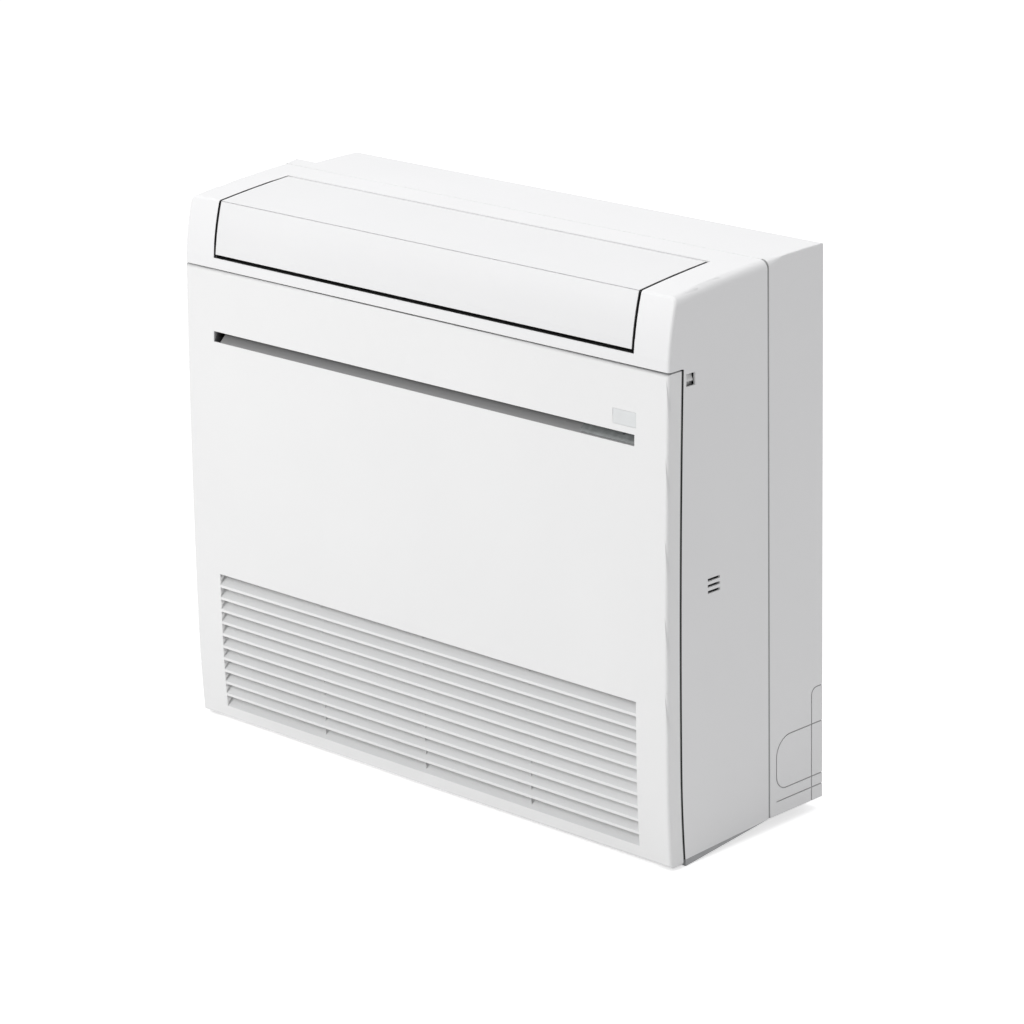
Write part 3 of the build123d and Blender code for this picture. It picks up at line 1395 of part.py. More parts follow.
with BuildPart() as control_board:
    block((box_x[0] + 3, box_x[1] - 3), (board_y, board_y + board_thick), (110, 328))
    parts_on_board = (
        (282, 145, 22, 26, 24),
        (314, 140, 24, 18, 16),
        (314, 168, 24, 18, 16),
        (284, 180, 16, 16, 30),
        (286, 215, 26, 14, 10),
        (316, 205, 14, 20, 12),
        (312, 240, 24, 10, 12),
        (284, 250, 18, 18, 6),
    )
    for x, z, wide, tall, deep in parts_on_board:
        block((x - wide / 2, x + wide / 2), (board_y - deep, board_y), (z - tall / 2, z + tall / 2))
    with Locations((316, board_y - 14, 272)):
        Cylinder(8, 28, rotation=(90, 0, 0))
    # Post with the switch under the push button
    block((294, 306), (-66, board_y), (294, 306))
    with Locations((button_place[0], -67, button_place[1])):
        Cylinder(2.4, 3, rotation=(90, 0, 0))
    control_board.part.label = "control_board"
export_step(control_board.part, "parts/control_board.step")

with BuildPart() as terminal_block:
    block((276, 326), (board_y - 12, box_y[1] - box_wall - fit), (78, 100))
    for n in range(4):
        x = 283.5 + n * 12
        block((x - 4.5, x + 4.5), (board_y - 13, board_y - 6), (81, 97), Mode.SUBTRACT)
        with Locations((x, board_y - 7, 89)):
            Cylinder(3.2, 4, rotation=(90, 0, 0))
    terminal_block.part.label = "terminal_block"
export_step(terminal_block.part, "parts/terminal_block.step")

with BuildPart() as cable_clamp:
    block((280, 322), (-60, -50), (box_z[0] + box_wall + fit, box_z[0] + box_wall + fit + 5))
    with BuildSketch(Plane.XZ.offset(60)):
        with Locations((301, box_z[0] + box_wall + fit + 5)):
            Circle(9)
            Circle(6, mode=Mode.SUBTRACT)
            Rectangle(40, 20, align=(Align.CENTER, Align.MAX), mode=Mode.SUBTRACT)
    extrude(amount=-10)
    cable_clamp.part.label = "cable_clamp"
export_step(cable_clamp.part, "parts/cable_clamp.step")

with BuildPart() as room_thermistor:
    block((side - wall - fit - 2, side - wall - fit), (sensor_y - 12, sensor_y + 12), (sensor_z - 16, sensor_z - 11))
    block((side - wall - fit - 9, side - wall - fit), (sensor_y - 4, sensor_y + 4), (sensor_z - 14, sensor_z - 11))
    with Locations((side - wall - fit - 6, sensor_y, sensor_z - 4)):
        Cylinder(2.4, 16)
    room_thermistor.part.label = "room_thermistor"
export_step(room_thermistor.part, "parts/room_thermistor.step")

with BuildPart() as casing_screws:
    for z in (screw_low, lug_z):
        for way in (-1, 1):
            with Locations((way * screw_x, frame_y - 1.2 - 0.05, z)):
                Cylinder(4, 2.4, rotation=(90, 0, 0))
            with Locations((way * screw_x, frame_y + 4, z)):
                Cylinder(screw_radius, 10, rotation=(90, 0, 0))
            with BuildSketch(Plane.XZ.offset(-frame_y + 3)):
                with Locations((way * screw_x, z)):
                    Rectangle(4.4, 1)
                    Rectangle(1, 4.4)
            extrude(amount=-1.8, mode=Mode.SUBTRACT)
    casing_screws.part.label = "casing_screws"
export_step(casing_screws.part, "parts/casing_screws.step")
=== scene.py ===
import bpy
import bmesh
import json
import math
from mathutils import Matrix, Vector

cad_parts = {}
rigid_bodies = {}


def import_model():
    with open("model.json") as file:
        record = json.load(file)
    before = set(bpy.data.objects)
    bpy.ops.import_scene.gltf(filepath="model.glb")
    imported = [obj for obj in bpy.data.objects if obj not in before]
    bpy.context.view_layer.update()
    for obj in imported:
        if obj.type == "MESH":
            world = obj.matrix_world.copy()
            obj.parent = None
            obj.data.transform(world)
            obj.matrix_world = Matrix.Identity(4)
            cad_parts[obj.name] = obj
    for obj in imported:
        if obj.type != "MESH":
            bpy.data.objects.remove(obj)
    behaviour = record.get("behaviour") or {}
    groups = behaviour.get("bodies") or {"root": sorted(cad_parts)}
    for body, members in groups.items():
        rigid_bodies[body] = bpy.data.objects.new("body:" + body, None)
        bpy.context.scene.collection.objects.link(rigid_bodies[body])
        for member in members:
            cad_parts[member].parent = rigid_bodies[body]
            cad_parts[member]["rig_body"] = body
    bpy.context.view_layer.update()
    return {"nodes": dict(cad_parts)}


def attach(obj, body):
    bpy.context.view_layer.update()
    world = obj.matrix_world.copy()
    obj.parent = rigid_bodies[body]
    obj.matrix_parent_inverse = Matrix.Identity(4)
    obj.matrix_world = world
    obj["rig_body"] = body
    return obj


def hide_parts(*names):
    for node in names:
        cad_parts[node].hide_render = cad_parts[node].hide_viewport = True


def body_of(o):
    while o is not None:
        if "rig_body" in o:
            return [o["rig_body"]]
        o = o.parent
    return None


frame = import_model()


# ---------------------------------------------------------------------------
# The photographer's camera. It stands to the right of the unit and above it,
# and is rolled a little; the unit is in the middle of its square picture.
# ---------------------------------------------------------------------------
MM = 0.001
IMAGE_SIDE = 1024.0
FOCAL_PIXELS = 3980.7
CAMERA_PLACE = Vector((2819.18, -2829.96, 1536.18)) * MM
CAMERA_AZIMUTH = math.radians(44.629)
CAMERA_ELEVATION = math.radians(17.494)
CAMERA_ROLL = math.radians(-1.292)

towards_camera = Vector((
    math.sin(CAMERA_AZIMUTH) * math.cos(CAMERA_ELEVATION),
    -math.cos(CAMERA_AZIMUTH) * math.cos(CAMERA_ELEVATION),
    math.sin(CAMERA_ELEVATION)))
level_right = (-towards_camera).cross(Vector((0, 0, 1))).normalized()
level_up = level_right.cross(-towards_camera).normalized()
picture_right = level_right * math.cos(CAMERA_ROLL) + level_up * math.sin(CAMERA_ROLL)
picture_up = level_up * math.cos(CAMERA_ROLL) - level_right * math.sin(CAMERA_ROLL)

camera_lens = bpy.data.cameras.new("photo_camera")
camera_lens.sensor_width = 36.0
camera_lens.lens = FOCAL_PIXELS / IMAGE_SIDE * camera_lens.sensor_width
camera_lens.clip_end = 50.0
camera = bpy.data.objects.new("photo_camera", camera_lens)
bpy.context.scene.collection.objects.link(camera)
turned_to = Matrix((picture_right, picture_up, towards_camera)).transposed()
camera.matrix_world = Matrix.Translation(CAMERA_PLACE) @ turned_to.to_4x4()
bpy.context.scene.camera = camera
bpy.context.scene.view_settings.view_transform = "Standard"


# ---------------------------------------------------------------------------
# How a material is written here: an expression on Value objects adds its
# Math nodes, and any other node comes from Material.node.
# ---------------------------------------------------------------------------
class Value:
    """One output socket of a material's node, with the usual operators."""

    def __init__(self, material, socket):
        self.material = material
        self.socket = socket

    def math(self, operation, *others):
        return self.material.node("ShaderNodeMath", self, *others, operation=operation)

    def __add__(self, other):
        return self.math("ADD", other)

    def __sub__(self, other):
        return self.math("SUBTRACT", other)

    def __rsub__(self, other):
        return self.material.node("ShaderNodeMath", other, self, operation="SUBTRACT")

    def __mul__(self, other):
        return self.math("MULTIPLY", other)

    def __gt__(self, other):
        return self.math("GREATER_THAN", other)

    def __lt__(self, other):
        return self.math("LESS_THAN", other)


class Material:
    """A procedural material on Object coordinates, with a Principled shader."""

    def __init__(self, name, colour, roughness, metallic=0.0, specular=0.5, coat=0.0):
        self.data = bpy.data.materials.new(name)
        self.data.use_nodes = True
        self.tree = self.data.node_tree
        self.shader = self.tree.nodes["Principled BSDF"]
        self.place = self.node("ShaderNodeTexCoord", output="Object")
        self.colour = colour
        self.set("Base Color", (*colour, 1.0))
        self.set("Roughness", roughness)
        self.set("Metallic", metallic)
        self.set("Specular IOR Level", specular)
        self.set("Coat Weight", coat)
        self.data.diffuse_color = (*colour, 1.0)

    def node(self, kind, *inputs, output=0, stops=None, **settings):
        """Adds a node: settings first, then its inputs in order, or by name in a dict."""
        made = self.tree.nodes.new(kind)
        for key, setting in settings.items():
            setattr(made, key, setting)
        if stops:
            ramp = made.color_ramp.elements
            while len(ramp) < len(stops):
                ramp.new(0.5)
            for element, (position, shade) in zip(ramp, stops):
                element.position = position
                element.color = (*shade, 1.0)
        for number, entry in enumerate(inputs):
            pairs = entry.items() if isinstance(entry, dict) else [(number, entry)]
            for name, value in pairs:
                self.feed(made.inputs[name], value)
        return Value(self, made.outputs[output])

    def feed(self, socket, value):
        if isinstance(value, Value):
            self.tree.links.new(value.socket, socket)
        else:
            socket.default_value = value

    def set(self, name, value):
        self.feed(self.shader.inputs[name], value)

    def shade(self):
        """What feeds the shader's colour so far."""
        return Value(self, self.shader.inputs["Base Color"].links[0].from_socket)

    def axis(self, letter):
        """A point's place along an axis, in millimetres."""
        return self.node("ShaderNodeSeparateXYZ", self.place, output=letter) * 1000.0

    def across(self):
        """How many millimetres a point lies to either side of the middle."""
        return self.axis("X").math("ABSOLUTE")

    def noise(self, size, detail=2.0, stretch=(1.0, 1.0, 1.0)):
        """Noise of about that size in metres, from 0 to 1; a stretch under 1 draws it out along its axis."""
        scaled = self.node("ShaderNodeMapping", self.place, {"Scale": stretch})
        return self.node("ShaderNodeTexNoise", {"Vector": scaled, "Scale": 1.0 / size, "Detail": detail})

    def cells(self, size, feature="F1", output="Distance"):
        """Voronoi cells of about that size in metres."""
        return self.node("ShaderNodeTexVoronoi", {"Vector": self.place, "Scale": 1.0 / size},
                         output=output, feature=feature)

    def shades(self, mask, dark, light):
        """The material's own colour, varied by a mask between two brightnesses."""
        low = tuple(min(1.0, c * dark) for c in self.colour)
        high = tuple(min(1.0, c * light) for c in self.colour)
        return self.node("ShaderNodeValToRGB", mask, output="Color", stops=[(0.25, low), (0.75, high)])

    def mixed(self, mask, one, other):
        """Two colours, or colour outputs, mixed by a mask."""
        blend = self.tree.nodes.new("ShaderNodeMix")
        blend.data_type = "RGBA"
        for place, value in ((0, mask), (6, one), (7, other)):
            self.feed(blend.inputs[place], (*value, 1.0) if isinstance(value, tuple) else value)
        return Value(self, blend.outputs[2])

    def bump(self, height, depth):
        return self.node("ShaderNodeBump", {"Height": height, "Distance": depth, "Strength": 1.0},
                         output="Normal")


# ---------------------------------------------------------------------------
# The two casings: injection-moulded white plastic, satin, with the fine grain
# of a spark-eroded tool. The front one carries the brow, the mouth and the
# sides; the rear one carries the top behind it, the knock-outs and the feet.
# ---------------------------------------------------------------------------
CAD = frame["nodes"]
SIDE = 350.0
FRONT = -118.0
FULLEST = 110.0
ARC_LOW = 1500.0
ARC_HIGH = 11000.0
SHOULDER = 9.0
SHOULDER_Z = 589.05
SEAM_Y = 35.0
SEAM_CUT = 0.7
SEAM_WIDE = 2.8
AT = 0.03
MOUTH_Z = (526.0, 594.5)
MOUTH_HALF = 304.0
LIP_DEEP = 3.0
BROW_Z = 514.0
RIM_BEHIND = (20.0, 21.2)
KNOCK_OUTS_Y = (40.0, 117.0)
KNOCK_OUTS_Z = 140.0


def moulded_plastic(name, colour, roughness=0.42, grain=0.0006, depth=0.02, spread=0.015):
    """Moulded plastic: spark-eroded grain, and slow and faint changes of shade and gloss."""
    material = Material(name, colour, roughness)
    slow = material.noise(0.14, 3.0)
    fine = material.noise(grain, 2.0)
    material.set("Base Color", material.shades(slow, 1.0 - spread, 1.0 + spread / 2))
    material.set("Roughness", slow * 0.08 + fine * 0.06 + (roughness - 0.07))
    material.set("Normal", material.bump(fine, depth * MM))
    return material


def stand_in(name, mesh, material, *nodes):
    """Shows a mesh as the piece for CAD nodes, on their body; they get its material too."""
    piece = bpy.data.objects.new(name, mesh)
    bpy.context.scene.collection.objects.link(piece)
    mesh.materials.clear()
    mesh.materials.append(material.data)
    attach(piece, body_of(CAD[nodes[0]])[0])
    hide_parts(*nodes)
    for node in nodes:
        CAD[node].data.materials.clear()
        CAD[node].data.materials.append(material.data)


def behind_front(material):
    """How many millimetres a point lies behind the front, which is one arc below FULLEST and one above."""
    rise = material.axis("Z") - FULLEST
    bend = (rise < 0.0) * (0.5 / ARC_LOW - 0.5 / ARC_HIGH) + 0.5 / ARC_HIGH
    return material.axis("Y") - FRONT - rise * rise * bend


def between(value, low, high):
    return (value > low) * (value < high)


def kept(node, material, change):
    """Stands a copy in for a CAD node, with its own normals; change moves its points, in millimetres."""
    mesh = CAD[node].data.copy()
    mesh.transform(CAD[node].matrix_world)
    for vertex in mesh.vertices:
        vertex.co = change(vertex.co / MM) * MM
    stand_in(node + "_moulded", mesh, material, node)


def opened_seam(point):
    """Opens the groove of the seam between the casings to the width that the photograph shows."""
    rise = max(0.0, point.z - SHOULDER_Z)
    reach = math.hypot(abs(point.x) - SIDE + SHOULDER, rise)
    moved = point.copy()
    if abs(reach - SHOULDER) < AT and abs(abs(point.y - SEAM_Y) - SEAM_CUT) < AT:
        moved.y = SEAM_Y + math.copysign(SEAM_WIDE / 2, point.y - SEAM_Y)
    elif abs(reach - SHOULDER + SEAM_CUT) < AT and abs(point.y - SEAM_Y) < AT:
        share = (SHOULDER - SEAM_WIDE / 2) / reach
        moved.x = math.copysign(SIDE - SHOULDER + (abs(point.x) - SIDE + SHOULDER) * share, point.x)
        moved.z = point.z if point.z < SHOULDER_Z else SHOULDER_Z + rise * share
    return moved


casing_white = moulded_plastic("casing_white", (0.835, 0.835, 0.835), 0.40)
across = casing_white.across()
height = casing_white.axis("Z")
depth = casing_white.axis("Y")
behind = behind_front(casing_white)
# Painted shade in the grooves, where shadow falls: deep in the seam, and in the scored lines of the
# knock-outs.
# The narrower left end lies deeper than those lines, so its low faces get the painted shade whole as well
seam_shade = between(depth, SEAM_Y - SEAM_WIDE / 2, SEAM_Y + 1.1) * (across > SIDE - SHOULDER)
scored = between(depth, *KNOCK_OUTS_Y) * (height < KNOCK_OUTS_Z) * 0.7
groove_shade = (across < SIDE - 0.15) * (seam_shade + scored)
# Painted shade, nearly black, on the mouth's lip and side edges and on the rim behind the panel, where the
# gaps show dark
lip = between(height, MOUTH_Z[0] - LIP_DEEP, MOUTH_Z[0] + 0.3)
edges = lip + between(across, MOUTH_HALF - 0.3, MOUTH_HALF + 0.3)
at_mouth = (across < MOUTH_HALF + 0.3) * between(height, MOUTH_Z[0] - LIP_DEEP, MOUTH_Z[1]) * (behind > 1.2)
rim = between(behind, *RIM_BEHIND) * (height < BROW_Z) * (across > SIDE - 2.7)
shaded = casing_white.mixed(groove_shade * 0.62, casing_white.shade(), (0.10, 0.10, 0.10))
casing_white.set("Base Color", casing_white.mixed(edges * at_mouth + rim, shaded, (0.03, 0.03, 0.03)))
kept("front_casing", casing_white, opened_seam)
kept("rear_casing", casing_white, opened_seam)


# ---------------------------------------------------------------------------
# The front panel: one white moulding that hangs on two pins at the floor. Its
# louvres slope back and up behind their lips, and two hooks hold it shut.
# ---------------------------------------------------------------------------
PANEL_TOP = 513.0
PANEL_DEPTH = 19.0
SLOT_Z = (434.0, 449.0)
SLOT_HALF = 306.0
GRILLE_Z = (18.0, 172.0)
GRILLE_HALF = 308.0
CORNER = 3.5
CORNER_STEP = 2.5
HALVINGS = 6
SLOT_LOWERED = 3.3
MERGED = 0.002
FLAT_TO = math.radians(0.03)
SHARP_FROM = math.radians(46)
ROUNDED_FROM = math.radians(50)

panel_white = moulded_plastic("panel_white", (0.83, 0.83, 0.825), 0.38)
across = panel_white.across()
height = panel_white.axis("Z")
behind = behind_front(panel_white)
# Painted shade on the louvres' ramps: grey, strongest near the lips and fading deeper in
in_grille = between(height, *GRILLE_Z) * (across < GRILLE_HALF) * (behind > 0.25)
shaded_ramps = panel_white.mixed(in_grille * (0.62 - behind * 0.06), panel_white.shade(), (0.55, 0.56, 0.56))
# Painted shade in the slot: grey on its ramp, darker deeper than 9 mm under the upper edge
in_slot = between(height, SLOT_Z[0] - 1.5, SLOT_Z[1] + 0.2) * (across < SLOT_HALF + 0.2) * (behind > 0.7)
slot_shade = panel_white.mixed(behind > 9.0, (0.25, 0.25, 0.25), (0.12, 0.12, 0.12))
slotted = panel_white.mixed(in_slot, shaded_ramps, slot_shade)
# Painted shade along the rear edge of its sides, and on its top in the gap under the brow, where the gaps
# show dark
rear_edge_shade = (behind > PANEL_DEPTH - 1.0) * (across > SIDE - 2.0)
gap_shade = (height > PANEL_TOP - 0.1) * (behind > 0.5) * 0.5
panel_white.set("Base Color", panel_white.mixed(rear_edge_shade + gap_shade, slotted, (0.10, 0.10, 0.10)))


def skin_of(node):
    """A CAD node's faces as one closed skin in the row frame, its flat faces whole."""
    skin = bmesh.new()
    skin.from_mesh(CAD[node].data)
    skin.transform(CAD[node].matrix_world)
    bmesh.ops.remove_doubles(skin, verts=skin.verts[:], dist=MERGED * MM)
    bmesh.ops.recalc_face_normals(skin, faces=skin.faces[:])
    bmesh.ops.dissolve_limit(skin, angle_limit=FLAT_TO, verts=skin.verts[:], edges=skin.edges[:])
    return skin


def baked(carrier):
    """The mesh that an object's modifiers make; the object itself goes."""
    bpy.context.view_layer.update()
    depsgraph = bpy.context.evaluated_depsgraph_get()
    mesh = bpy.data.meshes.new_from_object(carrier.evaluated_get(depsgraph), depsgraph=depsgraph)
    bpy.data.objects.remove(carrier, do_unlink=True)
    return mesh


def evenly_shaded(mesh, radius=0.0):
    """Rounds a mesh's sharp edges by a radius in millimetres, and lets its large faces lead the shading."""
    mesh.shade_smooth()
    mesh.set_sharp_from_angle(angle=SHARP_FROM)
    carrier = bpy.data.objects.new("to_shade", mesh)
    bpy.context.scene.collection.objects.link(carrier)
    if radius:
        edges = carrier.modifiers.new("edges", "BEVEL")
        edges.width = radius * MM
        edges.segments = 2
        edges.limit_method = "ANGLE"
        edges.angle_limit = ROUNDED_FROM
        edges.use_clamp_overlap = False
    flat = carrier.modifiers.new("flat", "WEIGHTED_NORMAL")
    flat.keep_sharp = True
    return baked(carrier)


def from_round(point):
    """Which way and how far a point lies from the middle of the panel's rounded skin, in millimetres."""
    rise = point.z - FULLEST
    bend = 0.5 / ARC_LOW if rise < 0 else 0.5 / ARC_HIGH
    reach = max(0.0, abs(point.x) - SIDE + CORNER)
    return Vector((math.copysign(reach, point.x), point.y - FRONT - rise * rise * bend - CORNER, 0.0))


def on_corner(vertex):
    point = vertex.co / MM
    return abs(point.x) > SIDE - CORNER - 0.05 and from_round(point).y < 0.05


def on_skin(point):
    return from_round(point).y < 0.05 and abs(from_round(point).length - CORNER) < 0.3


def triangulated(skin):
    bmesh.ops.triangulate(skin, faces=[face for face in skin.faces if len(face.verts) > 3])


def shaded_as_round(mesh):
    """Shades the panel's outer skin as the smooth arc and rounds that it is."""
    normals = [corner.vector.copy() for corner in mesh.corner_normals]
    for face in mesh.polygons:
        points = [mesh.vertices[n].co / MM for n in face.vertices]
        if all(on_skin(point) for point in points):
            for loop, point in zip(face.loop_indices, points):
                out = from_round(point)
                slope = (point.z - FULLEST) / (ARC_LOW if point.z < FULLEST else ARC_HIGH)
                normals[loop] = Vector((out.x, out.y, -out.y * slope)).normalized()
    mesh.normals_split_custom_set(normals)
    return mesh


# The upright corners get small faces, on the round that they were cut from
panel_skin = skin_of("front_panel")
for _ in range(HALVINGS):
    triangulated(panel_skin)
    long_edges = [edge for edge in panel_skin.edges if edge.calc_length() > CORNER_STEP * MM
                  and all(on_corner(vertex) and on_skin(vertex.co / MM) for vertex in edge.verts)]
    new = bmesh.ops.subdivide_edges(panel_skin, edges=long_edges, cuts=1)["geom_inner"]
    for vertex in (item for item in new if isinstance(item, bmesh.types.BMVert)):
        out = from_round(vertex.co / MM)
        vertex.co += (out.normalized() * CORNER - out) * MM
triangulated(panel_skin)
# The slot's upper edge is drawn lower, since the photograph's slot is that much narrower
for vertex in panel_skin.verts:
    point = vertex.co / MM
    if abs(point.z - SLOT_Z[1]) < 0.05 and abs(point.x) < SLOT_HALF + 0.1 and from_round(point).y < 10.0:
        vertex.co.z -= SLOT_LOWERED * MM
panel_mesh = bpy.data.meshes.new("front_panel")
panel_skin.to_mesh(panel_mesh)
panel_skin.free()
stand_in("front_panel_moulded", shaded_as_round(evenly_shaded(panel_mesh)), panel_white, "front_panel")


# ---------------------------------------------------------------------------
# What shows in the panel's slot and above it: a smoked lens bonded on the
# slot's ramp, two lamps behind it that are off, and the receiver's window.
# ---------------------------------------------------------------------------
def soften(node, material, radius=0.4):
    """Stands a copy in for a CAD node, with its sharp edges rounded by that many millimetres."""
    skin = skin_of(node)
    mesh = bpy.data.meshes.new(node)
    skin.to_mesh(mesh)
    skin.free()
    stand_in(node + "_formed", evenly_shaded(mesh, radius), material, node)


lens_smoke = Material("smoked_lens", (0.20, 0.212, 0.21), 0.18, coat=0.4)
depth_in_lens = lens_smoke.noise(0.006, 2.0)
lens_smoke.set("Base Color", lens_smoke.shades(depth_in_lens, 0.8, 1.15))
lens_smoke.set("Roughness", lens_smoke.noise(0.02) * 0.06 + 0.1)
soften("display_lens", lens_smoke, 0.25)

lamp_dark = Material("lamp_off", (0.05, 0.052, 0.055), 0.2, coat=0.5)
lamp_rings = lamp_dark.cells(0.0012)
lamp_dark.set("Base Color", lamp_dark.shades(lamp_rings, 0.7, 1.5))
lamp_dark.set("Normal", lamp_dark.bump(lamp_rings, 0.02 * MM))
soften("indicator_lamps", lamp_dark, 0.2)

window_pale = Material("receiver_window", (0.70, 0.715, 0.715), 0.22, coat=0.3)
behind_window = window_pale.noise(0.009, 1.0)
window_pale.set("Base Color", window_pale.shades(behind_window, 0.985, 1.01))
window_pale.set("Roughness", behind_window * 0.06 + 0.18)
soften("receiver_window", window_pale, 0.2)


# ---------------------------------------------------------------------------
# The two moulded white vanes that close the mouth, a little glossier than the
# casings, and the grey inner vane behind them; each turns on pins in the
# duct's cheeks.
# ---------------------------------------------------------------------------
VANE_HALF = 301.5
END_SHADE_WIDE = 0.8
vane_white = moulded_plastic("vane_white", (0.80, 0.80, 0.80), 0.36, depth=0.008)
# Each end carries a thin strip of painted shade, nearly black, that darkens the gap at the mouth's ends
end_shade = vane_white.across() > VANE_HALF - END_SHADE_WIDE
vane_white.set("Base Color", vane_white.mixed(end_shade, vane_white.shade(), (0.03, 0.03, 0.03)))
soften("front_vane", vane_white, 0.35)
soften("top_vane", vane_white, 0.35)
louvre_grey = moulded_plastic("louvre_grey", (0.16, 0.165, 0.17), 0.5, grain=0.0008, depth=0.03,
                              spread=0.08)
soften("inner_vane", louvre_grey, 0.4)


# ---------------------------------------------------------------------------
# The base plate: pressed steel under a light grey powder coat, with the
# orange peel of its baking and faint patches of shade and gloss.
# ---------------------------------------------------------------------------
base_coat = Material("powder_coat", (0.42, 0.425, 0.43), 0.45)
peel = base_coat.noise(0.0022, 1.0)
patches = base_coat.noise(0.06, 3.0)
base_coat.set("Base Color", base_coat.shades(patches, 0.97, 1.02))
base_coat.set("Roughness", patches * 0.1 + peel * 0.08 + 0.36)
base_coat.set("Normal", base_coat.bump(peel, 0.06 * MM))
soften("base_plate", base_coat, 0.4)


# ---------------------------------------------------------------------------
# Sheet steel with a zinc coat: the wall plate, the coil's end plates, the
# motor's clamp and the cover of the electrical box. The spangle is the zinc's
# crystals, each of them with a shade and a gloss of its own.
# ---------------------------------------------------------------------------
def zinc_coated(name, colour, spangle):
    material = Material(name, colour, 0.4, metallic=1.0)
    crystal = material.node("ShaderNodeSeparateXYZ", material.cells(spangle * MM, output="Color"))
    ripple = material.noise(0.02, 3.0)
    material.set("Base Color", material.shades(crystal, 0.93, 1.03))
    material.set("Roughness", crystal * 0.10 + ripple * 0.12 + 0.28)
    material.set("Normal", material.bump(ripple, 0.15 * MM))
    return material


zinc = zinc_coated("zinc_coated", (0.60, 0.61, 0.62), 7.0)
for sheet in ("wall_plate", "coil_end_plate_left", "coil_end_plate_right", "motor_clamp",
              "electrical_cover"):
    soften(sheet, zinc, 0.2)


# ---------------------------------------------------------------------------
# The outlet duct with its scroll, the stabiliser that closes it in front, and
# the holders on it: dark grey moulded plastic, matt against stray light.
# ---------------------------------------------------------------------------
duct_grey = moulded_plastic("duct_grey", (0.045, 0.046, 0.048), 0.55, grain=0.0009, depth=0.04,
                            spread=0.1)
for moulding in ("outlet_duct", "stabiliser", "bearing_holder", "motor_bracket"):
    soften(moulding, duct_grey, 0.4)


# ---------------------------------------------------------------------------
# Ten upright louvre blades of grey moulded plastic. Each turns on a pin in a
# boss of the stabiliser, and a second pin on top stands in the link bar; there
# is one bar for each half, so that five blades turn together.
# ---------------------------------------------------------------------------
for number in range(1, 11):
    soften(f"louvre_blade_{number}", louvre_grey, 0.3)
for half in ("left", "right"):
    soften(f"link_bar_{half}", louvre_grey, 0.2)


# ---------------------------------------------------------------------------
# Small geared stepping motors in black moulded cases, held by two ears each:
# two under the stabiliser for the louvres, and three outside the duct's right
# cheek for the vanes.
# ---------------------------------------------------------------------------
motor_black = moulded_plastic("motor_case", (0.045, 0.046, 0.048), 0.38, grain=0.0007, spread=0.15)
for motor in ("louvre_motor_left", "louvre_motor_right", "front_vane_motor", "top_vane_motor",
              "inner_vane_motor"):
    soften(motor, motor_black, 0.4)


# ---------------------------------------------------------------------------
# The cross-flow rotor: black glass-filled plastic blades, curved and tapered,
# welded between discs in four sections. Its right disc has a hub for the
# motor's shaft, and a stub on the left end turns in a rubber bearing.
# ---------------------------------------------------------------------------
FAN_CENTRE = (30.0, 385.0)
FAN_RADIUS = 46.0
FAN_ENDS = (-298.0, 226.0)
BLADES = 27
SECTIONS = 4
DISC_THICK = 2.5
BLADE_INNER = 34.0
BLADE_SWEEP = 11.5
DISC_FACE = 24.0
HUB_ENDS = (210.0, 226.2)
HUB_BORE = 4.1
HUB_RADIUS = 10.0
HUB_COLLAR = 12.0
STUB_END = -314.0
STUB_RADIUS = 4.0


def repeater():
    """Geometry Nodes that repeat a piece: copy n stands at Start + n Step, turned by n Turn."""
    tree = bpy.data.node_groups.new("repeat_piece", "GeometryNodeTree")
    kinds = (("Piece", "Object"), ("Count", "Int"), ("Start", "Vector"), ("Step", "Vector"),
             ("Turn", "Vector"), ("Finish", "Material"))
    names = {}
    for label, kind in kinds:
        entry = tree.interface.new_socket(label, in_out="INPUT", socket_type=f"NodeSocket{kind}")
        names[label] = entry.identifier
    tree.interface.new_socket("Geometry", in_out="OUTPUT", socket_type="NodeSocketGeometry")

    def add(kind, **inputs):
        made = tree.nodes.new(kind)
        for label, source in inputs.items():
            tree.links.new(source, made.inputs[label.replace("_", " ")])
        return made

    given = add("NodeGroupInput").outputs
    line = add("GeometryNodeMeshLine", Count=given["Count"], Start_Location=given["Start"],
               Offset=given["Step"])
    piece = add("GeometryNodeObjectInfo", Object=given["Piece"])
    turn = tree.nodes.new("ShaderNodeVectorMath")
    turn.operation = "SCALE"
    tree.links.new(given["Turn"], turn.inputs["Vector"])
    tree.links.new(add("GeometryNodeInputIndex").outputs["Index"], turn.inputs["Scale"])
    copies = add("GeometryNodeInstanceOnPoints", Points=line.outputs["Mesh"],
                 Instance=piece.outputs["Geometry"], Rotation=turn.outputs["Vector"])
    real = add("GeometryNodeRealizeInstances", Geometry=copies.outputs["Instances"])
    finish = add("GeometryNodeSetMaterial", Geometry=real.outputs["Geometry"], Material=given["Finish"])
    add("NodeGroupOutput", Geometry=finish.outputs["Geometry"])
    return tree, names


REPEATER, REPEATER_INPUTS = repeater()


def repeated(shape, material, count, start, step=(0.0, 0.0, 0.0), turn=(0.0, 0.0, 0.0)):
    """The mesh of a bmesh shape in millimetres, repeated."""
    source = bpy.data.objects.new("one_of_many", solid_mesh(shape, "one_of_many"))
    carrier = bpy.data.objects.new("many", bpy.data.meshes.new("many"))
    for made in (source, carrier):
        bpy.context.scene.collection.objects.link(made)
    copier = carrier.modifiers.new("repeat", "NODES")
    copier.node_group = REPEATER
    for label, value in (("Piece", source), ("Count", count), ("Start", tuple(v * MM for v in start)),
                         ("Step", tuple(v * MM for v in step)), ("Turn", turn), ("Finish", material.data)):
        copier[REPEATER_INPUTS[label]] = value
    mesh = baked(carrier)
    bpy.data.objects.remove(source, do_unlink=True)
    return mesh


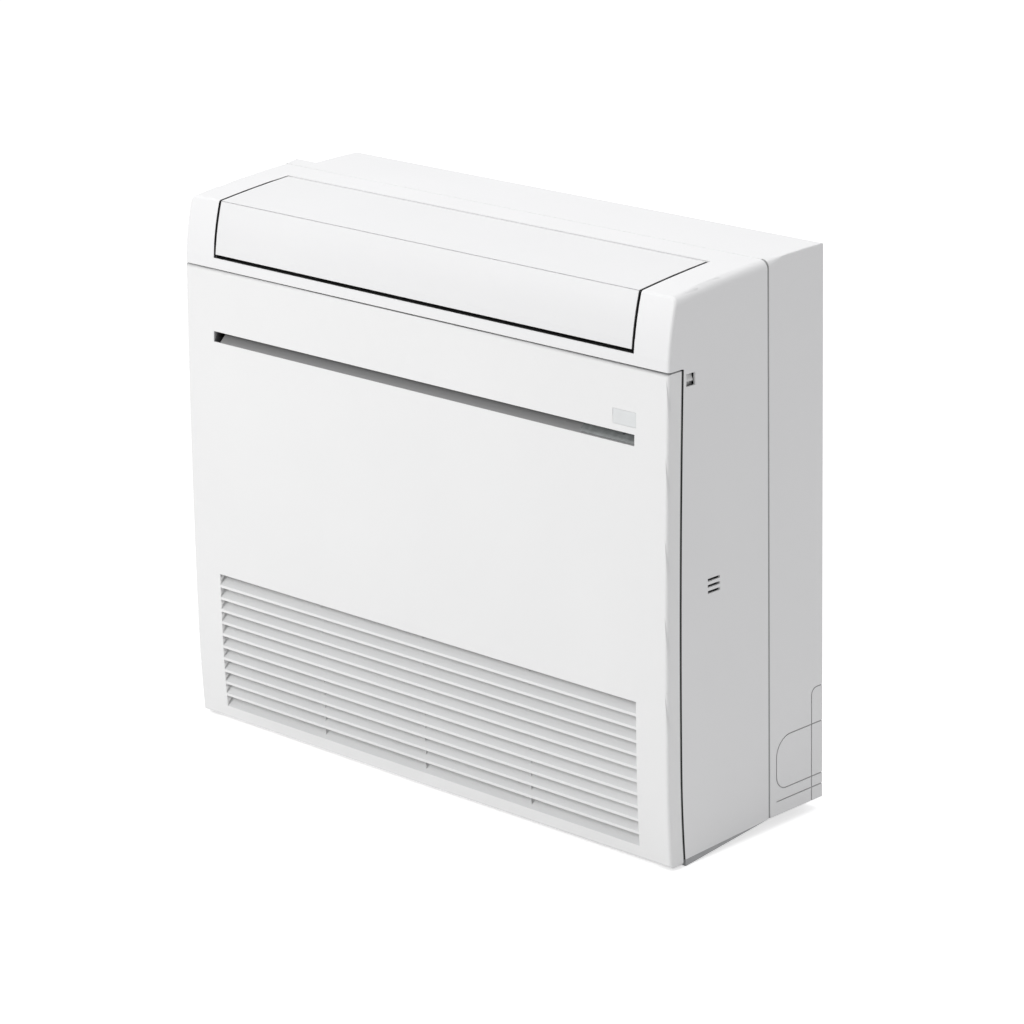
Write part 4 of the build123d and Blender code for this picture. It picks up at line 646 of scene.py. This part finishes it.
def solid_mesh(shape, name, sharp=35.0):
    """A bmesh drawn in millimetres as a mesh in metres, with smooth sides and sharp edges."""
    shape.transform(Matrix.Scale(MM, 4))
    bmesh.ops.recalc_face_normals(shape, faces=shape.faces[:])
    mesh = bpy.data.meshes.new(name)
    shape.to_mesh(mesh)
    shape.free()
    mesh.shade_smooth()
    mesh.set_sharp_from_angle(angle=math.radians(sharp))
    return mesh


def joined(name, material, nodes, *meshes):
    """Several meshes as one piece that stands for CAD nodes."""
    whole = bmesh.new()
    for mesh in meshes:
        whole.from_mesh(mesh)
        bpy.data.meshes.remove(mesh)
    merged = bpy.data.meshes.new(name)
    whole.to_mesh(merged)
    whole.free()
    stand_in(name, merged, material, *nodes)


def turned(shape, centre, outline, sides=48):
    """Turns an outline of (x, radius) about the line along X through centre (y, z)."""
    rings = []
    for x, radius in outline:
        rings.append([shape.verts.new((x, centre[0] + radius * math.cos(a), centre[1] + radius * math.sin(a)))
                      for a in (n * math.tau / sides for n in range(sides))])
    for ring, following in zip(rings, rings[1:]):
        for n in range(sides):
            shape.faces.new((ring[n], ring[n - 1], following[n - 1], following[n]))
    shape.faces.new(rings[0])
    shape.faces.new(rings[-1])


def pulled(shape, outline, ends):
    """Extrudes an outline of (y, z) between two limits along X."""
    loops = [[shape.verts.new((x, y, z)) for y, z in outline] for x in ends]
    for n in range(len(outline)):
        shape.faces.new((loops[0][n], loops[0][n - 1], loops[1][n - 1], loops[1][n]))
    for loop in loops:
        shape.faces.new(loop)
    return shape


def rotor_blade():
    """One blade about the rotor's axis: a curved profile that is thickest behind its inner edge."""
    upper, lower = [], []
    for n in range(9):
        share = n / 8
        radius = BLADE_INNER + share * (FAN_RADIUS - 0.9 - BLADE_INNER)
        turn = BLADE_SWEEP * (1.75 * share - 0.75 * share ** 2)
        half = 0.25 + 0.75 * math.sin(math.pi * min(1.0, share * 0.8 + 0.15)) * (1 - share * 0.45)
        for side, sign in ((upper, 1), (lower, -1)):
            angle = math.radians(turn + sign * math.degrees(half / radius))
            side.append((radius * math.cos(angle), radius * math.sin(angle)))
    return pulled(bmesh.new(), upper + lower[::-1], (0.0, FAN_ENDS[1] - FAN_ENDS[0]))


rotor_black = moulded_plastic("rotor_black", (0.035, 0.036, 0.038), 0.42, grain=0.0005, spread=0.2)
blades = repeated(rotor_blade(), rotor_black, BLADES, (FAN_ENDS[0], *FAN_CENTRE),
                  turn=(math.tau / BLADES, 0.0, 0.0))
discs = bmesh.new()
for number in range(SECTIONS + 1):
    x = FAN_ENDS[0] + number * (FAN_ENDS[1] - FAN_ENDS[0] - DISC_THICK) / SECTIONS
    rim = [(x, FAN_RADIUS - 0.7), (x + 0.5, FAN_RADIUS - 0.1), (x + 2.0, FAN_RADIUS - 0.1),
           (x + DISC_THICK, FAN_RADIUS - 0.7)]
    if 0 < number < SECTIONS:
        hole = BLADE_INNER - 3.0
        back = x + DISC_THICK
        turned(discs, FAN_CENTRE, [(x + 0.4, hole), (x, hole + 0.6), *rim, (back, hole + 0.6),
                                   (back - 0.4, hole), (x + 0.4, hole)])
    else:
        turned(discs, FAN_CENTRE, [(x, DISC_FACE), (x, DISC_FACE + 0.4), *rim,
                                   (x + DISC_THICK, DISC_FACE + 0.4), (x + DISC_THICK, DISC_FACE)])
hub = bmesh.new()
turned(hub, FAN_CENTRE, [(HUB_ENDS[0], HUB_BORE), (HUB_ENDS[0], HUB_RADIUS - 0.6),
                         (HUB_ENDS[0] + 0.6, HUB_RADIUS), (HUB_ENDS[1] - 3.2, HUB_RADIUS),
                         (HUB_ENDS[1] - 2.7, HUB_COLLAR), (HUB_ENDS[1], HUB_COLLAR), (HUB_ENDS[1], HUB_BORE)])
turned(hub, FAN_CENTRE, [(STUB_END, STUB_RADIUS - 0.6), (STUB_END + 0.6, STUB_RADIUS),
                         (FAN_ENDS[0] + 0.5, STUB_RADIUS)], 24)
joined("fan_rotor_wheel", rotor_black, ["fan_rotor"], blades, solid_mesh(discs, "discs"),
       solid_mesh(hub, "hub"))

rubber = Material("bearing_rubber", (0.022, 0.022, 0.022), 0.75, specular=0.3)
bloom = rubber.noise(0.008, 3.0)
rubber.set("Base Color", rubber.shades(bloom, 0.8, 1.5))
rubber.set("Roughness", bloom * 0.15 + 0.65)
rubber.set("Normal", rubber.bump(rubber.noise(0.0008), 0.03 * MM))
soften("fan_bearing", rubber, 0.3)


# ---------------------------------------------------------------------------
# The fan motor: a can of plated steel with its ground shaft, its marks drawn
# round it by the press. A moulded bracket and a zinc coated clamp hold it.
# ---------------------------------------------------------------------------
def worked_metal(name, colour, roughness, stretch, marks=0.0006, tarnish=0.08):
    """Metal with the marks of its tool drawn out along one axis, and a little tarnish in clouds."""
    material = Material(name, colour, roughness, metallic=1.0)
    tool = material.noise(marks, 3.0, stretch=stretch)
    cloud = material.noise(0.012, 4.0)
    material.set("Base Color", material.shades(cloud, 1.0 - tarnish * 2, 1.0 + tarnish))
    material.set("Roughness", tool * 0.14 + cloud * 0.14 + (roughness - 0.14))
    material.set("Normal", material.bump(tool, 0.008 * MM))
    return material


motor_plate = worked_metal("plated_steel", (0.50, 0.50, 0.51), 0.38, (1.0, 0.05, 0.05))
shaft_steel = worked_metal("ground_steel", (0.62, 0.62, 0.63), 0.22, (1.0, 0.04, 0.04), 0.0003, 0.03)
soften("fan_motor", motor_plate, 0.6)
soften("motor_shaft", shaft_steel, 0.4)


# ---------------------------------------------------------------------------
# The heat exchanger: 328 fins of thin aluminium, pressed into shallow pleats,
# on copper hairpins. The hairpins' bends stand out at both ends.
# ---------------------------------------------------------------------------
COIL_FOOT = Vector((0.0, -20.0, 90.0))
COIL_HEAD = Vector((0.0, -52.0, 415.0))
COIL_ENDS = (-294.0, 231.0)
COIL_HALF = 14.0
FIN_COUNT = 328
FIN_THICK = 0.15
PLEATS = 6
PLEAT_DEEP = 0.3
TUBE_RADIUS = 3.5
TUBE_PITCH = 21.0
TUBE_ROWS = 15
GAS_ROW = 2
LIQUID_ROW = 4
TUBE_PAST = 2.0
BEND_PAST = 3.2
BEND_STEPS = 12
coil_length = (COIL_HEAD - COIL_FOOT).length
coil_up = (COIL_HEAD - COIL_FOOT).normalized()
coil_across = coil_up.cross(Vector((1.0, 0.0, 0.0)))


def fin():
    """One fin with its pleats: a thin closed strip, seen mostly by its long edges."""
    shape = bmesh.new()
    rows = []
    for fold in range(PLEATS + 1):
        across = COIL_HALF * (fold / (PLEATS / 2) - 1)
        pleat = PLEAT_DEEP if fold % 2 else -PLEAT_DEEP
        rows.append([[shape.verts.new(coil_up * reach + coil_across * across + Vector((pleat + thick, 0, 0)))
                      for thick in (0.0, FIN_THICK)] for reach in (0.0, coil_length)])
    for one, other in zip(rows, rows[1:]):
        for thick in (0, 1):
            shape.faces.new((one[0][thick], one[1][thick], other[1][thick], other[0][thick]))
        for end in (0, 1):
            shape.faces.new((one[end][0], one[end][1], other[end][1], other[end][0]))
    for edge in (rows[0], rows[-1]):
        shape.faces.new((edge[0][0], edge[0][1], edge[1][1], edge[1][0]))
    return shape


fin_aluminium = worked_metal("fin_aluminium", (0.72, 0.74, 0.76), 0.34, (1.0, 1.0, 0.08), 0.002, 0.05)
fin_step = (COIL_ENDS[1] - COIL_ENDS[0] - 1.2) / (FIN_COUNT - 1)
fins = repeated(fin(), fin_aluminium, FIN_COUNT, (COIL_ENDS[0] + 0.5, COIL_FOOT.y, COIL_FOOT.z),
                step=(fin_step, 0.0, 0.0))
stand_in("heat_exchanger_fins", fins, fin_aluminium, "heat_exchanger")


def piped(shape, path, radius, sides=14):
    """A tube along a path; its radius is a number, or a function of the distance along."""
    rings, gone = [], 0.0
    ahead = (path[1] - path[0]).normalized()
    normal = ahead.orthogonal().normalized()
    for n, point in enumerate(path):
        if n:
            gone += (point - path[n - 1]).length
        before, after = path[max(n - 1, 0)], path[min(n + 1, len(path) - 1)]
        tangent = (after - before).normalized()
        normal = (normal - tangent * normal.dot(tangent)).normalized()
        side = tangent.cross(normal)
        size = radius(gone) if callable(radius) else radius
        rings.append([shape.verts.new(point + (normal * math.cos(a) + side * math.sin(a)) * size)
                      for a in (k * math.tau / sides for k in range(sides))])
    for ring, following in zip(rings, rings[1:]):
        for k in range(sides):
            shape.faces.new((ring[k], ring[k - 1], following[k - 1], following[k]))
    shape.faces.new(rings[0])
    shape.faces.new(rings[-1])


def coil_row(row, x):
    """Point at x on the middle line of one of the coil's tubes."""
    reach = coil_length / 2 + (row - (TUBE_ROWS - 1) / 2) * TUBE_PITCH
    point = COIL_FOOT + coil_up * reach
    return Vector((x, point.y, point.z))


copper = worked_metal("drawn_copper", (0.73, 0.40, 0.27), 0.30, (0.05, 1.0, 1.0), 0.0005, 0.12)
tubes = bmesh.new()
for row in range(TUBE_ROWS):
    piped(tubes, [coil_row(row, COIL_ENDS[0] - TUBE_PAST), coil_row(row, COIL_ENDS[1] + TUBE_PAST)],
          TUBE_RADIUS, 10)
for way, end in ((-1, COIL_ENDS[0]), (1, COIL_ENDS[1])):
    for row in range(0 if way < 0 else 1, TUBE_ROWS - 1, 2):
        # No bend where the gas or the liquid pipe leaves the coil
        if way > 0 and row in (GAS_ROW - 1, LIQUID_ROW - 1):
            continue
        base = coil_row(row, end + way * BEND_PAST)
        top = coil_row(row + 1, end + way * BEND_PAST)
        middle = (base + top) / 2
        half = (top - base) / 2
        curve = [middle - half * math.cos(a) + Vector((way * half.length, 0, 0)) * math.sin(a)
                 for a in (n * math.pi / BEND_STEPS for n in range(BEND_STEPS + 1))]
        piped(tubes, [coil_row(row, end), *curve, coil_row(row + 1, end)], TUBE_RADIUS, 14)
stand_in("coil_hairpins", solid_mesh(tubes, "coil_hairpins"), copper, "coil_bends")


# ---------------------------------------------------------------------------
# The gas and liquid pipes: bent copper tube from the coil down to the side
# knock-out, where a brass flare nut turns on the end of each.
# ---------------------------------------------------------------------------
PIPE_X = 259.0
PIPE_END_X = 310.0
PIPE_TURN = 14.0


def bent(corners, radius, steps=8):
    """A path through corners in millimetres that turns each of them with about that radius."""
    points = [Vector(corners[0])]
    for before, corner, after in zip(corners, corners[1:], corners[2:]):
        before, corner, after = Vector(before), Vector(corner), Vector(after)
        come, go = corner - before, after - corner
        angle = come.angle(go)
        cut = min(radius * math.tan(angle / 2), come.length / 2.02, go.length / 2.02)
        start = corner - come.normalized() * cut
        end = corner + go.normalized() * cut
        for n in range(steps + 1):
            share = n / steps
            points.append(start.lerp(corner, share).lerp(corner.lerp(end, share), share))
    return points + [Vector(corners[-1])]


brass = worked_metal("turned_brass", (0.74, 0.57, 0.28), 0.26, (1.0, 0.05, 0.05), 0.0004, 0.05)
for kind, row, radius, (end_y, end_z) in (("gas", GAS_ROW, 4.76, (76.0, 66.0)),
                                          ("liquid", LIQUID_ROW, 3.175, (102.0, 66.0))):
    start = coil_row(row, COIL_ENDS[1] + 1.8)
    pipe = bmesh.new()
    piped(pipe, bent([start, (PIPE_X, start.y, start.z), (PIPE_X, end_y, start.z), (PIPE_X, end_y, end_z),
                      (PIPE_END_X, end_y, end_z)], PIPE_TURN), radius, 18)
    stand_in(f"{kind}_pipe_bent", solid_mesh(pipe, kind), copper, f"{kind}_pipe")
    soften(f"{kind}_flare_nut", brass, 0.4)


# ---------------------------------------------------------------------------
# The drain pan under the coil, moulded of pale foam in beads, and the ribbed
# grey hose that leads from its spout to the knock-out.
# ---------------------------------------------------------------------------
foam = Material("pan_foam", (0.62, 0.62, 0.60), 0.7, specular=0.3)
beads = foam.cells(0.0032)
foam.set("Base Color", foam.shades(beads, 1.03, 0.9))
foam.set("Roughness", beads * 0.2 + 0.6)
foam.set("Normal", foam.bump(1.0 - beads, 0.12 * MM))
soften("drain_pan", foam, 0.8)

HOSE_RADIUS = 8.2
HOSE_TURN = 13.0
RIB_PITCH = 4.0
RIB_DEEP = 1.1
SPOUT = (251.0, 4.0, 61.3)
ELBOW_X = 290.0
HOSE_END = (334.0, 56.0, 44.0)
hose_grey = moulded_plastic("hose_grey", (0.42, 0.43, 0.44), 0.45, grain=0.001, depth=0.01, spread=0.06)
course = bent([SPOUT, (ELBOW_X, *SPOUT[1:]), (ELBOW_X, *HOSE_END[1:]), HOSE_END], HOSE_TURN)
steps = [course[0]]
for before, after in zip(course, course[1:]):
    pieces = max(1, round((after - before).length / (RIB_PITCH / 6)))
    steps += [before.lerp(after, (n + 1) / pieces) for n in range(pieces)]


def ribbed(gone):
    """The hose's radius at a distance along it."""
    return HOSE_RADIUS - 0.15 - RIB_DEEP * (0.5 + 0.5 * math.cos(gone * math.tau / RIB_PITCH))


hose = bmesh.new()
piped(hose, steps, ribbed, 18)
stand_in("drain_hose_ribbed", solid_mesh(hose, "hose", 70.0), hose_grey, "drain_hose")


# ---------------------------------------------------------------------------
# Two air filters that slide up out of their frame: a dark grid of ribs with a
# net of 0.3 mm threads behind it, and a finger tab on the upper edge.
# ---------------------------------------------------------------------------
FILTER_X = (-306.0, 238.0)
FILTER_Z = (55.3, 432.0)
FILTER_Y = (-91.4, -88.3)
RIB = 2.0
BORDER = 4.0
COLUMNS = 4
ROWS = 6
GRID_INSET = 5.0
NET_INSET = 4.0
EDGE_GAP = 3.3
TAB_HALF = 18.0
GRIP_HALF = 12.0
THREAD = 0.3
THREAD_PITCH = 1.8


def bar(shape, x, y, z, chamfer=0.3):
    """A bar between limits along the three axes, with its edges taken off by a chamfer."""
    low, high = Vector((x[0], y[0], z[0])), Vector((x[1], y[1], z[1]))
    made = bmesh.ops.create_cube(shape, size=1.0)["verts"]
    for vertex in made:
        vertex.co = Vector(low[k] + (vertex.co[k] + 0.5) * (high[k] - low[k]) for k in range(3))
    if chamfer:
        edges = list({edge for vertex in made for edge in vertex.link_edges})
        bmesh.ops.bevel(shape, geom=edges, offset=chamfer, segments=1, affect="EDGES")


def rib_limits(number, last, start, step):
    """Limits of one of a grid's ribs; the first and the last one are wider, outwards."""
    outwards = {0: -1.0, last: 1.0}.get(number, 0.0)
    middle = start + number * step + outwards * BORDER / 2
    half = (RIB + abs(outwards) * BORDER) / 2
    return middle - half, middle + half


filter_light = moulded_plastic("filter_frame_grey", (0.55, 0.555, 0.55), 0.5, spread=0.05)
filter_blue = moulded_plastic("filter_blue", (0.06, 0.085, 0.12), 0.5, grain=0.0005, spread=0.15)
soften("filter_frame", filter_light, 0.4)
middle_x = sum(FILTER_X) / 2
for side, low, high in (("left", FILTER_X[0] + EDGE_GAP, middle_x - EDGE_GAP),
                        ("right", middle_x + EDGE_GAP, FILTER_X[1] - EDGE_GAP)):
    grid = bmesh.new()
    wide = (high - low - 2 * GRID_INSET) / COLUMNS
    tall = (FILTER_Z[1] - FILTER_Z[0] - 2 * GRID_INSET) / ROWS
    for column in range(COLUMNS + 1):
        bar(grid, rib_limits(column, COLUMNS, low + GRID_INSET, wide), FILTER_Y,
            (FILTER_Z[0] + 0.2, FILTER_Z[1] - 0.2))
    for line in range(ROWS + 1):
        bar(grid, (low + 0.2, high - 0.2), (FILTER_Y[0] + 0.1, FILTER_Y[1] - 0.1),
            rib_limits(line, ROWS, FILTER_Z[0] + GRID_INSET, tall))
    centre = (low + high) / 2
    bar(grid, (centre - TAB_HALF, centre + TAB_HALF), FILTER_Y, (FILTER_Z[1] - 2.0, FILTER_Z[1] + 9.0), 0.8)
    for line in range(3):
        z = FILTER_Z[1] + 1.5 + line * 2.5
        bar(grid, (centre - GRIP_HALF, centre + GRIP_HALF), (FILTER_Y[0] - 0.4, FILTER_Y[0] + 0.3),
            (z - 0.4, z + 0.4), 0.2)
    net_wide = high - low - 2 * NET_INSET
    net_tall = FILTER_Z[1] - FILTER_Z[0] - 2 * NET_INSET
    upright = bmesh.new()
    bar(upright, (-THREAD / 2, THREAD / 2), (-THREAD, 0.0), (0.0, net_tall), 0.0)
    level = bmesh.new()
    bar(level, (0.0, net_wide), (0.0, THREAD), (-THREAD / 2, THREAD / 2), 0.0)
    net_y = FILTER_Y[1] - THREAD
    net = [repeated(upright, filter_blue, int(net_wide / THREAD_PITCH),
                    (low + NET_INSET + 0.5, net_y, FILTER_Z[0] + NET_INSET), step=(THREAD_PITCH, 0.0, 0.0)),
           repeated(level, filter_blue, int(net_tall / THREAD_PITCH),
                    (low + NET_INSET, net_y, FILTER_Z[0] + NET_INSET + 0.5), step=(0.0, 0.0, THREAD_PITCH))]
    joined(f"air_filter_{side}_net", filter_blue, [f"air_filter_{side}"], solid_mesh(grid, "grid"), *net)


# ---------------------------------------------------------------------------
# The electrical box beside the coil: flame-retardant plastic, with the control
# board, the terminals, the cable's clamp and the button on its cover.
# ---------------------------------------------------------------------------
box_black = moulded_plastic("box_plastic", (0.10, 0.10, 0.105), 0.55, grain=0.0009, depth=0.04, spread=0.12)
soften("electrical_box", box_black, 0.4)
terminal_black = moulded_plastic("terminal_black", (0.03, 0.03, 0.031), 0.42, grain=0.0006, spread=0.2)
for moulding in ("terminal_block", "cable_clamp", "room_thermistor"):
    soften(moulding, terminal_black, 0.3)
button_grey = moulded_plastic("button_grey", (0.52, 0.53, 0.53), 0.36, grain=0.0004, depth=0.01, spread=0.04)
soften("push_button", button_grey, 0.3)

BOARD_Y = -22.0
board = Material("control_board", (0.012, 0.10, 0.045), 0.3, coat=0.2)
tracks = board.cells(0.0045, feature="DISTANCE_TO_EDGE") < 0.12
standing = board.axis("Y") < BOARD_Y - 0.3
parts_shade = board.node("ShaderNodeValToRGB", board.noise(0.018, 0.0), output="Color",
                         stops=[(0.42, (0.02, 0.02, 0.022)), (0.52, (0.5, 0.48, 0.4))])
laminate = board.shades(tracks, 1.0, 1.9)
board.set("Base Color", board.mixed(standing, laminate, parts_shade))
board.set("Roughness", standing * 0.2 + board.noise(0.003) * 0.1 + 0.25)
board.set("Normal", board.bump(tracks, 0.03 * MM))
soften("control_board", board, 0.3)


# ---------------------------------------------------------------------------
# Four zinc plated screws behind the front panel, which hold the front casing:
# a domed pan head with a cross recess, on a shank that ends in a point.
# ---------------------------------------------------------------------------
SCREW_X = 341.2
SCREW_FACE = -90.0
SCREW_HEIGHTS = (40.0, 480.0)
HEAD_TOP = -2.3
RECESS_FLOOR = -0.9
RECESS_ARM = 2.2
RECESS_HALF = 0.5
screw_zinc = worked_metal("plated_screw", (0.58, 0.585, 0.58), 0.28, (0.2, 1.0, 0.2), 0.0008, 0.06)
screws = bmesh.new()
for side in (-1, 1):
    for height in SCREW_HEIGHTS:
        head = bmesh.new()
        turned(head, (0.0, 0.0), [(HEAD_TOP, 2.9), (-2.1, 3.3), (-1.5, 3.8), (-0.7, 4.0), (-0.1, 3.9),
                                  (-0.05, 1.5), (7.5, 1.5), (9.0, 0.4)], 24)
        face = min(head.faces, key=lambda f: f.calc_center_median().x)
        ring = list(face.verts)
        arm, half = RECESS_ARM, RECESS_HALF
        cross = [(half, arm), (-half, arm), (-half, half), (-arm, half), (-arm, -half), (-half, -half),
                 (-half, -arm), (half, -arm), (half, -half), (arm, -half), (arm, half), (half, half)]
        top = [head.verts.new((HEAD_TOP, y, z)) for y, z in cross]
        deep = [head.verts.new((RECESS_FLOOR, y * 0.7, z * 0.7)) for y, z in cross]
        head.faces.remove(face)
        border = [head.edges.get((a, b)) for a, b in zip(ring, ring[1:] + ring[:1])]
        border += [head.edges.new((a, b)) for a, b in zip(top, top[1:] + top[:1])]
        bmesh.ops.triangle_fill(head, edges=border, use_beauty=True)
        for n in range(len(cross)):
            head.faces.new((top[n], top[n - 1], deep[n - 1], deep[n]))
        head.faces.new(deep)
        seat = Matrix.Translation((side * SCREW_X, SCREW_FACE, height))
        head.transform(seat @ Matrix.Rotation(math.pi / 2, 4, "Z"))
        loose = bpy.data.meshes.new("head")
        head.to_mesh(loose)
        head.free()
        screws.from_mesh(loose)
        bpy.data.meshes.remove(loose)
stand_in("casing_screw_set", solid_mesh(screws, "casing_screw_set"), screw_zinc, "casing_screws")


# ---------------------------------------------------------------------------
# The studio: a white paper floor under a white sky, a large soft lamp in front
# on the left and one overhead, so that the right end is the darker one.
# ---------------------------------------------------------------------------
def backdrop_rays(tree):
    """1 for the rays that show the backdrop: the camera's own, and those off metal and through glass."""
    rays = tree.nodes.new("ShaderNodeLightPath").outputs
    shown = rays["Is Camera Ray"]
    for kind in ("Glossy", "Transmission"):
        either = tree.nodes.new("ShaderNodeMath")
        tree.links.new(shown, either.inputs[0])
        tree.links.new(rays[f"Is {kind} Ray"], either.inputs[1])
        shown = either.outputs[0]
    return shown


PAPER_SIZE = 14.0
PAPER_GLOW = 0.62
SKY_LIGHT = 0.5
SKY_SHOWN = 1.0
floor_mesh = bpy.data.meshes.new("studio_floor")
flat = bmesh.new()
bmesh.ops.create_grid(flat, x_segments=1, y_segments=1, size=PAPER_SIZE)
flat.to_mesh(floor_mesh)
flat.free()
floor = bpy.data.objects.new("studio_floor", floor_mesh)
bpy.context.scene.collection.objects.link(floor)
paper = Material("white_paper", (0.8, 0.8, 0.8), 0.9, specular=0.0)
floor.data.materials.append(paper.data)
paper.set("Emission Color", (1.0, 1.0, 1.0, 1.0))
paper.set("Emission Strength", Value(paper, backdrop_rays(paper.tree)) * PAPER_GLOW)

world = bpy.data.worlds.new("studio_light")
world.use_nodes = True
bpy.context.scene.world = world
sky = world.node_tree.nodes["Background"]
sky.inputs["Color"].default_value = (0.985, 0.985, 1.0, 1.0)
strength = world.node_tree.nodes.new("ShaderNodeMix")
strength.inputs["A"].default_value = SKY_LIGHT
strength.inputs["B"].default_value = SKY_SHOWN
world.node_tree.links.new(backdrop_rays(world.node_tree), strength.inputs["Factor"])
world.node_tree.links.new(strength.outputs["Result"], sky.inputs["Strength"])


def soft_lamp(name, place, aim, size, watts):
    """A square lamp of that size in metres, turned to a point."""
    lamp = bpy.data.lights.new(name, "AREA")
    lamp.size = size
    lamp.energy = watts
    holder = bpy.data.objects.new(name, lamp)
    bpy.context.scene.collection.objects.link(holder)
    facing = (Vector(aim) - Vector(place)).to_track_quat("-Z", "Y").to_matrix().to_4x4()
    holder.matrix_world = Matrix.Translation(place) @ facing


soft_lamp("front_lamp", (-1.4, -3.2, 2.2), (0.0, 0.0, 0.3), 2.4, 70.0)
soft_lamp("overhead_lamp", (0.3, 0.2, 3.4), (0.0, 0.0, 0.6), 3.0, 43.0)
